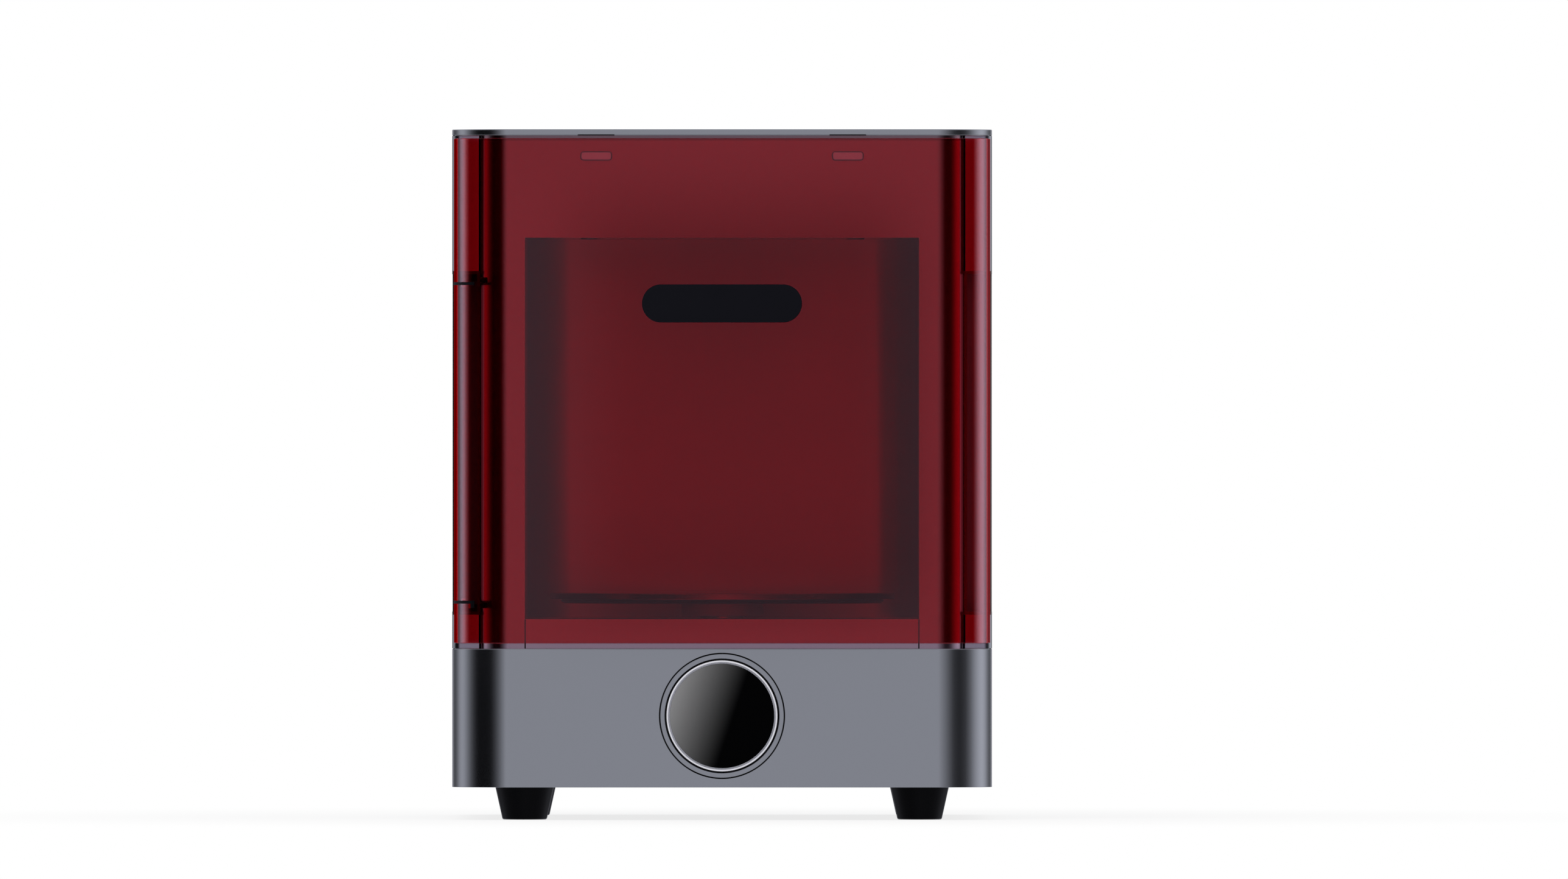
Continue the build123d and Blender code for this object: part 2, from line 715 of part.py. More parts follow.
frame_width = width - 2 * frame_side_inset
pocket_inner_x = frame_width / 2 + pocket_frame_gap
pocket_names = {"hinge_pocket": -1, "grip_pocket": 1}
for pocket_name, side in pocket_names.items():
    with BuildPart() as pocket:
        with BuildSketch(Plane.XY.offset(pocket_low_z)):
            RectangleRounded(width, depth, corner_radius)
            with Locations(
                (side * (pocket_inner_x + width / 2) / 2, (panel_front_y + pocket_end_y) / 2)
            ):
                Rectangle(
                    width / 2 - pocket_inner_x, pocket_end_y - panel_front_y, mode=Mode.INTERSECT
                )
        extrude(amount=pocket_high_z - pocket_low_z)
        with BuildSketch(Plane.XY.offset(recess_bottom_z)):
            with Locations(
                (
                    side * (pocket_inner_x + pocket_wall + width / 2 + cut_margin) / 2,
                    (panel_front_y - cut_margin + pocket_back_y) / 2,
                )
            ):
                Rectangle(
                    width / 2 + cut_margin - pocket_inner_x - pocket_wall,
                    pocket_back_y - panel_front_y + cut_margin,
                )
        extrude(amount=recess_top_z - recess_bottom_z, mode=Mode.SUBTRACT)
    pocket.part.label = pocket_name
    export_step(pocket.part, f"parts/{pocket_name}.step")

# ------------------------------------------------------------------ curing chamber
frame_corner_radius = 13.2
frame_length = 34.0
frame_stile = 21.6  # width of the frame's front on each side of the opening
floor_rise = 14.5  # from the deck to the chamber's floor
ceiling_drop = 50.4  # from the lid's underside to the chamber's ceiling
liner_wall = 1.2
liner_corner_radius = 22.0
sill_end_gap = 0.3
sill_gap_below = 0.2
sill_thickness = 2.5
sill_lip_depth = 13.0
floor_thickness = 2.0
floor_leg_radius = 5.0
floor_leg_inset = 16.7
floor_leg_setback = 43.5
floor_leg_rear_inset = 23.0

magnet_x = 61.7
magnet_drop = 10.7  # from the lid's underside to the magnets
magnet_width = 14.8
magnet_height = 3.7
magnet_corner = 1.2
magnet_sink = 1.5
magnet_gap = 0.4
catch_width = 18.0
catch_height = 5.0
catch_depth = 1.5

frame_back_y = frame_front_y + frame_length
chamber_width = frame_width - 2 * frame_stile
chamber_floor_z = deck_z + floor_rise
chamber_ceiling_z = lid_z - ceiling_drop
magnet_z = lid_z - magnet_drop
floor_leg_x = chamber_width / 2 - floor_leg_inset
floor_leg_front_y = liner_front_y + floor_leg_setback
floor_leg_rear_y = chamber_back_y - floor_leg_rear_inset


def chamber_plan(grow):
    """Plan of the curing chamber grown outwards: square at the front, rounded at the back."""
    half = chamber_width / 2 + grow
    back_y = chamber_back_y + grow
    with BuildSketch() as outline:
        with Locations((0, (liner_front_y + back_y) / 2)):
            Rectangle(2 * half, back_y - liner_front_y)
        fillet(outline.vertices().group_by(Axis.Y)[-1], liner_corner_radius + grow)
    return outline.sketch


inner_plan = chamber_plan(0)
outer_plan = chamber_plan(liner_wall)

with BuildPart() as front_frame:
    with BuildSketch(Plane.XY.offset(deck_z)) as frame_plan:
        with Locations((0, (frame_front_y + frame_back_y) / 2)):
            Rectangle(frame_width, frame_length)
        fillet(frame_plan.vertices().group_by(Axis.Y)[0], frame_corner_radius)
    extrude(amount=body_height)
    with BuildSketch(Plane.XY.offset(deck_z + frame_wall)) as frame_hollow:
        with Locations((0, (liner_front_y + frame_back_y) / 2)):
            Rectangle(frame_width - 2 * frame_wall, frame_back_y - liner_front_y)
        fillet(frame_hollow.vertices().group_by(Axis.Y)[0], frame_corner_radius - frame_wall)
    extrude(amount=body_height - 2 * frame_wall, mode=Mode.SUBTRACT)
    with BuildSketch(front_plane(frame_front_y, z=(deck_z + chamber_ceiling_z) / 2)):
        Rectangle(chamber_width, chamber_ceiling_z - deck_z)
    extrude(amount=-frame_wall, mode=Mode.SUBTRACT)
    with BuildSketch(front_plane(frame_front_y, z=magnet_z)):
        with GridLocations(2 * magnet_x, 0, 2, 1):
            Rectangle(catch_width, catch_height)
    extrude(amount=-catch_depth, mode=Mode.SUBTRACT)
front_frame.part.label = "front_frame"
export_step(front_frame.part, "parts/front_frame.step")

with BuildPart() as sill_plate:
    with BuildSketch(
        front_plane(frame_front_y, z=(deck_z + sill_gap_below + chamber_floor_z) / 2)
    ):
        Rectangle(chamber_width - 2 * sill_end_gap, chamber_floor_z - deck_z - sill_gap_below)
    extrude(amount=-sill_thickness)
    with BuildSketch(Plane.XY.offset(chamber_floor_z)):
        with Locations((0, frame_front_y + sill_lip_depth / 2)):
            Rectangle(chamber_width - 2 * sill_end_gap, sill_lip_depth)
    extrude(amount=-floor_thickness)
sill_plate.part.label = "sill_plate"
export_step(sill_plate.part, "parts/sill_plate.step")

with BuildPart() as chamber_liner:
    with BuildSketch(Plane.XY.offset(chamber_floor_z)):
        add(outer_plan)
    extrude(amount=chamber_ceiling_z - chamber_floor_z)
    with BuildSketch(Plane.XY.offset(chamber_floor_z)):
        add(inner_plan)
    extrude(amount=chamber_ceiling_z - chamber_floor_z, mode=Mode.SUBTRACT)
chamber_liner.part.label = "chamber_liner"
export_step(chamber_liner.part, "parts/chamber_liner.step")

bush_radius = 8.0
bush_flange_radius = 11.0
bush_flange_height = 0.9
bush_length = 5.0

floor_front_y = frame_front_y + sill_lip_depth + sill_end_gap
with BuildPart() as chamber_floor:
    with BuildSketch(Plane.XY.offset(chamber_floor_z)):
        add(outer_plan)
        with Locations((0, (liner_front_y + floor_front_y) / 2)):
            Rectangle(
                chamber_width + 2 * (liner_wall + cut_margin),
                floor_front_y - liner_front_y,
                mode=Mode.SUBTRACT,
            )
        with Locations((0, turn_y)):
            Circle(bush_radius + press_gap, mode=Mode.SUBTRACT)
    extrude(amount=-floor_thickness)
    with BuildSketch(Plane.XY.offset(deck_z)):
        with Locations((0, (floor_leg_front_y + floor_leg_rear_y) / 2)):
            with GridLocations(2 * floor_leg_x, floor_leg_rear_y - floor_leg_front_y, 2, 2):
                Circle(floor_leg_radius)
    extrude(amount=chamber_floor_z - floor_thickness - deck_z)
chamber_floor.part.label = "chamber_floor"
export_step(chamber_floor.part, "parts/chamber_floor.step")

with BuildPart() as turntable_bush:
    with BuildSketch(Plane.XY.offset(chamber_floor_z)):
        with Locations((0, turn_y)):
            Circle(bush_flange_radius)
    extrude(amount=bush_flange_height)
    with BuildSketch(Plane.XY.offset(chamber_floor_z)):
        with Locations((0, turn_y)):
            Circle(bush_radius)
    extrude(amount=-bush_length)
    with BuildSketch(Plane.XY.offset(chamber_floor_z + bush_flange_height)):
        with Locations((0, turn_y)):
            Circle(shaft_radius + running_fit)
    extrude(amount=-bush_length - bush_flange_height, mode=Mode.SUBTRACT)
turntable_bush.part.label = "turntable_bush"
export_step(turntable_bush.part, "parts/turntable_bush.step")

# ------------------------------------------------------------------ turntable
plate_side_gap = 11.7  # from the turntable's rim to the chamber's side
plate_thickness = 3.0
plate_rise = 12.5  # from the chamber's floor to the turntable's top
plate_chamfer = 0.5
hub_radius = 20.0
hub_shaft_depth = 7.0
groove_radii = (30.0, 50.0, 70.0)
groove_width = 1.2
groove_depth = 0.6
shaft_engagement = 6.0

plate_radius = chamber_width / 2 - plate_side_gap
plate_top_z = chamber_floor_z + plate_rise
plate_bottom_z = plate_top_z - plate_thickness
hub_bottom_z = chamber_floor_z + bush_flange_height + seat_gap
with BuildPart() as turntable_plate:
    with BuildSketch(Plane.XY.offset(plate_bottom_z)):
        with Locations((0, turn_y)):
            Circle(plate_radius)
    extrude(amount=plate_thickness)
    chamfer(turntable_plate.edges().group_by(Axis.Z)[-1], plate_chamfer)
    for groove_radius in groove_radii:
        with BuildSketch(Plane.XY.offset(plate_top_z)):
            with Locations((0, turn_y)):
                Circle(groove_radius + groove_width / 2)
                Circle(groove_radius - groove_width / 2, mode=Mode.SUBTRACT)
        extrude(amount=-groove_depth, mode=Mode.SUBTRACT)
turntable_plate.part.label = "turntable_plate"
export_step(turntable_plate.part, "parts/turntable_plate.step")

with BuildPart() as turntable_hub:
    with BuildSketch(Plane.XY.offset(hub_bottom_z)):
        with Locations((0, turn_y)):
            Circle(hub_radius)
    extrude(amount=plate_bottom_z - hub_bottom_z)
    with BuildSketch(Plane.XY.offset(hub_bottom_z)):
        with Locations((0, turn_y)):
            Circle(shaft_radius + press_gap)
    extrude(amount=hub_shaft_depth, mode=Mode.SUBTRACT)
turntable_hub.part.label = "turntable_hub"
export_step(turntable_hub.part, "parts/turntable_hub.step")

with BuildPart() as motor_shaft:
    with BuildSketch(Plane.XY.offset(deck_bottom_z - shaft_engagement)):
        with Locations((0, turn_y)):
            Circle(shaft_radius)
    extrude(amount=hub_bottom_z + hub_shaft_depth - press_gap - deck_bottom_z + shaft_engagement)
motor_shaft.part.label = "motor_shaft"
export_step(motor_shaft.part, "parts/motor_shaft.step")

# ------------------------------------------------------------------ light source above the chamber
ceiling_thickness = 2.0
window_corner = 10.0
window_overlap = 5.0  # of the diffuser on the window's edge
diffuser_thickness = 3.0
diffuser_corner = 12.0
diffuser_inset = 10.0  # from the heat sink's edge
led_board_inset = 11.0
led_rows = 8
led_pitch = 17.0
led_side = 4.0
led_height = 1.2
sink_size = 170.0
sink_base = 4.0
sink_lift = 10.0
sink_post_radius = 3.5
sink_post_inset = 5.0
fin_count = 21
fin_thickness = 1.5
fin_height = 30.0

diffuser_size = sink_size - 2 * diffuser_inset
window_size = diffuser_size - 2 * window_overlap
led_size = sink_size - 2 * led_board_inset
fin_pitch = (sink_size - fin_thickness) / (fin_count - 1)
ceiling_top_z = chamber_ceiling_z + ceiling_thickness
with BuildPart() as ceiling_plate:
    with BuildSketch(Plane.XY.offset(chamber_ceiling_z)):
        add(outer_plan)
        with Locations((0, turn_y)):
            RectangleRounded(window_size, window_size, window_corner, mode=Mode.SUBTRACT)
    extrude(amount=ceiling_thickness)
ceiling_plate.part.label = "ceiling_plate"
export_step(ceiling_plate.part, "parts/ceiling_plate.step")

with BuildPart() as diffuser:
    with BuildSketch(Plane.XY.offset(ceiling_top_z)):
        with Locations((0, turn_y)):
            RectangleRounded(diffuser_size, diffuser_size, diffuser_corner)
    extrude(amount=diffuser_thickness)
diffuser.part.label = "diffuser"
export_step(diffuser.part, "parts/diffuser.step")

sink_z = ceiling_top_z + sink_lift
with BuildPart() as led_board:
    with BuildSketch(Plane.XY.offset(sink_z)):
        with Locations((0, turn_y)):
            RectangleRounded(led_size, led_size, board_corner)
    extrude(amount=-board_thickness)
    with BuildSketch(Plane.XY.offset(sink_z - board_thickness + part_sink)):
        with Locations((0, turn_y)):
            with GridLocations(led_pitch, led_pitch, led_rows, led_rows):
                Rectangle(led_side, led_side)
    extrude(amount=-led_height - part_sink)
led_board.part.label = "led_board"
export_step(led_board.part, "parts/led_board.step")

with BuildPart() as heat_sink:
    with BuildSketch(Plane.XY.offset(sink_z)):
        with Locations((0, turn_y)):
            Rectangle(sink_size, sink_size)
    extrude(amount=sink_base)
    with BuildSketch(Plane.XY.offset(sink_z + sink_base)):
        with Locations((0, turn_y)):
            with GridLocations(fin_pitch, 0, fin_count, 1):
                Rectangle(fin_thickness, sink_size)
    extrude(amount=fin_height)
    with BuildSketch(Plane.XY.offset(sink_z)):
        with Locations((0, turn_y)):
            with GridLocations(sink_size - 2 * sink_post_inset, sink_size - 2 * sink_post_inset, 2, 2):
                Circle(sink_post_radius)
    extrude(amount=-sink_lift)
heat_sink.part.label = "heat_sink"
export_step(heat_sink.part, "parts/heat_sink.step")

# ------------------------------------------------------------------ fan and guard
fan_depth = 20.0
fan_corner = 4.0
fan_duct_radius = 28.5
fan_hub_radius = 12.0
fan_hub_chamfer = 1.0
fan_strut_count = 3
fan_strut_width = 3.0
fan_strut_depth = 3.0
fan_strut_sink = 1.0  # how far a strut reaches into the duct's wall
fan_bearing_radius = 4.0
fan_bearing_depth = 9.0
fan_shaft_radius = 1.5
blade_total = 7
blade_clearance = 1.8
blade_chord = 15.0
blade_root_chord = 12.0
blade_root_sink = 1.0  # how far a blade reaches into the hub
blade_sheet = 1.2
blade_root_pitch = 48.0  # degrees out of the plane of rotation
blade_tip_pitch = 28.0
rotor_depth = 14.0
fan_hole_inset = 5.0
fan_hole_size = 2.0

fan_back_y = shell_inner_y
fan_front_y = fan_back_y - fan_depth
with BuildPart() as fan_frame:
    with BuildSketch(rear_plane(fan_back_y, z=fan_z)):
        RectangleRounded(fan_size, fan_size, fan_corner)
        Circle(fan_duct_radius, mode=Mode.SUBTRACT)
        with GridLocations(fan_size - 2 * fan_hole_inset, fan_size - 2 * fan_hole_inset, 2, 2):
            Circle(fan_hole_size, mode=Mode.SUBTRACT)
    extrude(amount=-fan_depth)
    # motor base on three struts, at the inner side
    with BuildSketch(rear_plane(fan_front_y, z=fan_z)):
        Circle(fan_hub_radius)
        with PolarLocations(fan_duct_radius / 2, fan_strut_count, start_angle=90):
            Rectangle(fan_duct_radius + fan_strut_sink, fan_strut_width)
    extrude(amount=fan_strut_depth)
    with BuildSketch(rear_plane(fan_front_y + fan_strut_depth, z=fan_z)):
        Circle(fan_bearing_radius)
    extrude(amount=fan_bearing_depth)
    with BuildSketch(rear_plane(fan_front_y + fan_strut_depth + fan_bearing_depth, z=fan_z)):
        Circle(fan_shaft_radius + running_fit)
    extrude(amount=-fan_bearing_depth, mode=Mode.SUBTRACT)
fan_frame.part.label = "fan_frame"
export_step(fan_frame.part, "parts/fan_frame.step")

rotor_front_y = fan_front_y + fan_strut_depth + seat_gap
rotor_back_y = rotor_front_y + rotor_depth
rotor_cup_y = fan_front_y + fan_strut_depth + fan_bearing_depth + seat_gap
blade_tip_radius = fan_duct_radius - blade_clearance
blade_mid_y = (rotor_front_y + rotor_back_y) / 2
with BuildPart() as fan_rotor:
    with BuildSketch(rear_plane(rotor_front_y, z=fan_z)):
        Circle(fan_hub_radius)
    extrude(amount=rotor_depth)
    chamfer(fan_rotor.edges().group_by(Axis.Y)[-1], fan_hub_chamfer)
    with BuildSketch(rear_plane(rotor_front_y, z=fan_z)):
        Circle(fan_bearing_radius + seat_gap)
    extrude(amount=rotor_cup_y - rotor_front_y, mode=Mode.SUBTRACT)
    with BuildSketch(rear_plane(rotor_cup_y, z=fan_z)):
        Circle(fan_shaft_radius)
    extrude(amount=-fan_bearing_depth)
    for blade_index in range(blade_total):
        turn = blade_index * 360 / blade_total
        hub_location = side_plane(0, blade_mid_y, fan_z).location
        blade_plane = Plane(hub_location * Location((0, 0, 0), (turn, 0, 0)))
        root_plane = blade_plane.offset(fan_hub_radius - blade_root_sink)
        with BuildSketch(turned(root_plane, 90 - blade_root_pitch)):
            Rectangle(blade_root_chord, blade_sheet)
        with BuildSketch(turned(blade_plane.offset(blade_tip_radius), 90 - blade_tip_pitch)):
            Rectangle(blade_chord, blade_sheet)
        loft()
fan_rotor.part.label = "fan_rotor"
export_step(fan_rotor.part, "parts/fan_rotor.step")

guard_rings = (28.0, 21.0, 14.0, 7.0)
guard_wire = 1.5
guard_tab_radius = 3.5

guard_tab_offset = fan_size / 2 - fan_hole_inset
with BuildPart() as fan_guard:
    with BuildSketch(rear_plane(rear_y, z=fan_z)):
        for ring_radius_here in guard_rings:
            Circle(ring_radius_here + guard_wire / 2)
            Circle(ring_radius_here - guard_wire / 2, mode=Mode.SUBTRACT)
        with PolarLocations(0, 2, start_angle=45, angular_range=180):
            Rectangle(2 * guard_tab_offset * 2**0.5, guard_wire)
        with GridLocations(2 * guard_tab_offset, 2 * guard_tab_offset, 2, 2):
            Circle(guard_tab_radius)
            Circle(fan_hole_size, mode=Mode.SUBTRACT)
    extrude(amount=guard_wire)
fan_guard.part.label = "fan_guard"
export_step(fan_guard.part, "parts/fan_guard.step")

# ------------------------------------------------------------------ lid and catch plates
lid_chamfer = 0.4
lid_slot_width = 18.0
lid_slot_height = 0.5
lid_slot_depth = 8.0

with BuildPart() as lid:
    with BuildSketch(Plane.XY.offset(lid_z)):
        RectangleRounded(width, depth, corner_radius)
    extrude(amount=lid_thickness)
    chamfer(lid.edges().group_by(Axis.Z)[-1], lid_chamfer)
    with BuildSketch(front_plane(front_y, z=lid_z)):
        with GridLocations(2 * magnet_x, 0, 2, 1):
            Rectangle(lid_slot_width, 2 * lid_slot_height)
    extrude(amount=-lid_slot_depth, mode=Mode.SUBTRACT)
lid.part.label = "lid"
export_step(lid.part, "parts/lid.step")

for side_name, side in (("left", -1), ("right", 1)):
    with BuildPart() as catch_plate:
        with BuildSketch(front_plane(frame_front_y, side * magnet_x, magnet_z)):
            Rectangle(catch_width, catch_height)
        extrude(amount=-catch_depth)
    catch_plate.part.label = f"catch_plate_{side_name}"
    export_step(catch_plate.part, f"parts/catch_plate_{side_name}.step")

# ------------------------------------------------------------------ door
name_plate_width = 78.5
name_plate_height = 18.7
name_plate_drop = 82.7  # from the lid's underside to the plate's middle
name_plate_recess = 1.0
name_plate_thickness = 0.9
name_plate_gap = 0.3
name_plate_chamfer = 0.3

name_plate_z = lid_z - name_plate_drop
arm_inner_x = hinge_x + arm_width / 2
upper_arm_z = recess_top_z - arm_from_end - arm_thickness
lower_arm_z = recess_bottom_z + arm_from_end
door_inner_y = front_y + door_thickness
magnet_front_y = door_inner_y - magnet_sink
magnet_back_y = frame_front_y - magnet_gap

with BuildPart() as door_shell:
    with BuildSketch(Plane.XY.offset(door_bottom_z)):
        RectangleRounded(width, depth, corner_radius)
        RectangleRounded(
            width - 2 * door_thickness,
            depth - 2 * door_thickness,
            corner_radius - door_thickness,
            mode=Mode.SUBTRACT,
        )
        with Locations((0, (door_trail_y + rear_y + cut_margin) / 2)):
            Rectangle(width + cut_margin, rear_y + cut_margin - door_trail_y, mode=Mode.SUBTRACT)
    extrude(amount=door_top_z - door_bottom_z)
    # slots for the hinge arms, open at the trailing edge
    for arm_z in (upper_arm_z, lower_arm_z):
        with BuildSketch(Plane.XY.offset(arm_z - arm_slot_gap)):
            with Locations((hinge_x, (front_y + door_trail_y) / 2)):
                Rectangle(arm_width + 2 * arm_slot_gap, door_wrap + cut_margin)
        extrude(amount=arm_thickness + 2 * arm_slot_gap, mode=Mode.SUBTRACT)
    # slot for the lower arm's lug
    with BuildSketch(Plane.XY.offset(lower_arm_z)):
        with Locations((arm_inner_x - lug_width / 2, (front_y + door_trail_y) / 2)):
            Rectangle(lug_width + 2 * arm_slot_gap, door_wrap + cut_margin)
    extrude(amount=-lug_height - arm_slot_gap, mode=Mode.SUBTRACT)
    # pockets for the magnets and the bare name plate
    with BuildSketch(front_plane(door_inner_y, z=magnet_z)):
        with GridLocations(2 * magnet_x, 0, 2, 1):
            RectangleRounded(magnet_width, magnet_height, magnet_corner)
    extrude(amount=magnet_sink, mode=Mode.SUBTRACT)
    with BuildSketch(front_plane(front_y, z=name_plate_z)):
        SlotOverall(name_plate_width + 2 * name_plate_gap, name_plate_height + 2 * name_plate_gap)
    extrude(amount=-name_plate_recess, mode=Mode.SUBTRACT)
door_shell.part.label = "door_shell"
export_step(door_shell.part, "parts/door_shell.step")

for side_name, side in (("left", -1), ("right", 1)):
    with BuildPart() as door_magnet:
        with BuildSketch(front_plane(magnet_front_y, side * magnet_x, magnet_z)):
            RectangleRounded(magnet_width, magnet_height, magnet_corner)
        extrude(amount=magnet_front_y - magnet_back_y)
    door_magnet.part.label = f"door_magnet_{side_name}"
    export_step(door_magnet.part, f"parts/door_magnet_{side_name}.step")

with BuildPart() as name_plate:
    with BuildSketch(front_plane(front_y + name_plate_recess, z=name_plate_z)):
        SlotOverall(name_plate_width, name_plate_height)
    extrude(amount=name_plate_thickness)
    chamfer(name_plate.edges().group_by(Axis.Y)[0], name_plate_chamfer)
name_plate.part.label = "name_plate"
export_step(name_plate.part, "parts/name_plate.step")

# ------------------------------------------------------------------ hinges
block_half_length = 5.0
pin_chamfer = 0.25

block_inner_x = pocket_inner_x + pocket_wall
block_width = -hinge_x - block_inner_x + arm_width / 2
for level_name, arm_z, up in (("upper", upper_arm_z, 1), ("lower", lower_arm_z, -1)):
    with BuildPart() as hinge_arm:
        with BuildSketch(Plane.XY.offset(arm_z)):
            with Locations((hinge_x, (hinge_y + front_y) / 2)):
                Rectangle(arm_width, hinge_y - front_y)
            with Locations((hinge_x, hinge_y)):
                Circle(arm_width / 2)
            RectangleRounded(width, depth, corner_radius, mode=Mode.INTERSECT)
            with Locations((hinge_x, hinge_y)):
                Circle(pin_radius + running_fit, mode=Mode.SUBTRACT)
        extrude(amount=arm_thickness)
        if level_name == "lower":
            with BuildSketch(Plane.XY.offset(arm_z)):
                with Locations((arm_inner_x - lug_width / 2, front_y + lug_depth + lug_depth / 2)):
                    Rectangle(lug_width, 2 * lug_depth)
                RectangleRounded(width, depth, corner_radius, mode=Mode.INTERSECT)
            extrude(amount=-lug_height)
    hinge_arm.part.label = f"hinge_arm_{level_name}"
    export_step(hinge_arm.part, f"parts/hinge_arm_{level_name}.step")

    recess_end_z = recess_top_z if up == 1 else recess_bottom_z
    arm_face_z = arm_z + arm_thickness if up == 1 else arm_z
    far_face_z = arm_z if up == 1 else arm_z + arm_thickness
    block_face_z = arm_face_z + up * seat_gap
    with BuildPart() as hinge_block:
        with BuildSketch(Plane.XY.offset(recess_end_z)):
            with Locations((-block_inner_x - block_width / 2, hinge_y)):
                Rectangle(block_width, 2 * block_half_length)
            with Locations((hinge_x, hinge_y)):
                Circle(pin_radius + press_gap, mode=Mode.SUBTRACT)
        extrude(amount=block_face_z - recess_end_z)
    hinge_block.part.label = f"hinge_block_{level_name}"
    export_step(hinge_block.part, f"parts/hinge_block_{level_name}.step")

    with BuildPart() as hinge_pin:
        with BuildSketch(Plane.XY.offset(recess_end_z)):
            with Locations((hinge_x, hinge_y)):
                Circle(pin_radius)
        extrude(amount=far_face_z - up * pin_overhang - recess_end_z)
        chamfer(hinge_pin.edges(), pin_chamfer)
    hinge_pin.part.label = f"hinge_pin_{level_name}"
    export_step(hinge_pin.part, f"parts/hinge_pin_{level_name}.step")
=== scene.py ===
"""Dressed model of a dental lab light curing unit, in the place and size of its solids.

Forms are worked out in millimetres as whole arrays of points, and put into meshes in metres. X runs
to the right, Y to the back and Z up. The origin is on the floor, below the middle of the unit.
"""

import json
import logging
import math
from abc import ABC, abstractmethod
from collections.abc import Callable, Mapping, Sequence
from dataclasses import dataclass, field
from enum import Enum
from itertools import product
from typing import Union

import bmesh
import bpy
import numpy as np
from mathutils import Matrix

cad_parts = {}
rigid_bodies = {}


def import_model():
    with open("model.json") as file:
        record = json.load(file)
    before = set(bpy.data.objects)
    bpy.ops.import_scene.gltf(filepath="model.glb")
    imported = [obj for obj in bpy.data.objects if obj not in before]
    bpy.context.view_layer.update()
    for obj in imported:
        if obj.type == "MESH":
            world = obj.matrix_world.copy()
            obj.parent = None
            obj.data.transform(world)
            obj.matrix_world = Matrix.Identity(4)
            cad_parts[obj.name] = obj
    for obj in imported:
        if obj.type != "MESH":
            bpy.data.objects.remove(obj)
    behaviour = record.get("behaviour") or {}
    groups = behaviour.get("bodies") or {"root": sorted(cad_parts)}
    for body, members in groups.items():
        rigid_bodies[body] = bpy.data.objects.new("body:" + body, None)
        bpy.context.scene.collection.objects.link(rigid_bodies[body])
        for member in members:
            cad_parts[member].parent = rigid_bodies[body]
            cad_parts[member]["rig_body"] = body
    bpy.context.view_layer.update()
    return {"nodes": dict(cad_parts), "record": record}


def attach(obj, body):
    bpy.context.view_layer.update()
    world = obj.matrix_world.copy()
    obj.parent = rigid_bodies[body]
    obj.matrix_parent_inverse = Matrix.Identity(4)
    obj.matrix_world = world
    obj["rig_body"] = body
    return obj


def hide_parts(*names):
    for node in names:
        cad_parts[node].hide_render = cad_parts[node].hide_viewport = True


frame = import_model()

LOG = logging.getLogger("curing_unit")
METRE = 0.001  # one millimetre in metres
Array = np.ndarray
Vec2 = tuple[float, float]
Vec3 = tuple[float, float, float]
Vec4 = tuple[float, float, float, float]
Colour = tuple[float, float, float]

ORIGIN: Vec3 = (0.0, 0.0, 0.0)
WHITE: Colour = (1.0, 1.0, 1.0)
BLACK: Colour = (0.0, 0.0, 0.0)
HORIZONTAL: Vec3 = (1.0, 1.0, 0.0)  # shares of X, Y and Z that lie across an upright axis
UPRIGHT: Vec3 = (1.0, 0.0, 1.0)  # the same across an axis that runs to the back
SIDES = (("left", -1), ("right", 1))
SIGNS = (-1, 1)


# ------------------------------------------------------------------ shader trees
Term = Union["Wire", float, int, str, Sequence[float]]


def operator(operation: str, turned: bool = False) -> Callable[["Wire", Term], "Wire"]:
    """Method of a wire that joins it to another value by one Math node.

    Args:
        operation: The node's operation.
        turned: Whether the other value comes first, as in a reflected form.

    Returns:
        The method.
    """

    def method(self: "Wire", other: Term) -> "Wire":
        """The operation on the wire and the other value."""
        return self.maths(operation, *((other, self) if turned else (self, other)))

    return method


class Wire:
    """One output of a shader node, used in Python arithmetic on plain values."""

    __add__, __radd__ = operator("ADD"), operator("ADD", True)
    __sub__, __rsub__ = operator("SUBTRACT"), operator("SUBTRACT", True)
    __mul__, __rmul__ = operator("MULTIPLY"), operator("MULTIPLY", True)
    __truediv__, __rtruediv__ = operator("DIVIDE"), operator("DIVIDE", True)
    __gt__ = operator("GREATER_THAN")
    most = operator("MAXIMUM")
    power = operator("POWER")

    def __init__(self, tree: "Tree", socket: bpy.types.NodeSocket) -> None:
        """Keeps the tree and the socket."""
        self.tree = tree
        self.socket = socket

    def maths(self, operation: str, *terms: Term) -> "Wire":
        """One Math node on the given terms."""
        return self.tree.node("Math", {"operation": operation}, dict(enumerate(terms)))

    def __neg__(self) -> "Wire":
        """Negative."""
        return self * -1.0

    def __abs__(self) -> "Wire":
        """Size without sign."""
        return self.maths("ABSOLUTE", self)

    def ease(self, start: float, stop: float) -> "Wire":
        """Smooth step: 0 at start, 1 at stop, level beyond both."""
        ends = {"Value": self, "From Min": start, "From Max": stop}
        return self.tree.node("MapRange", {"interpolation_type": "SMOOTHSTEP"}, ends)


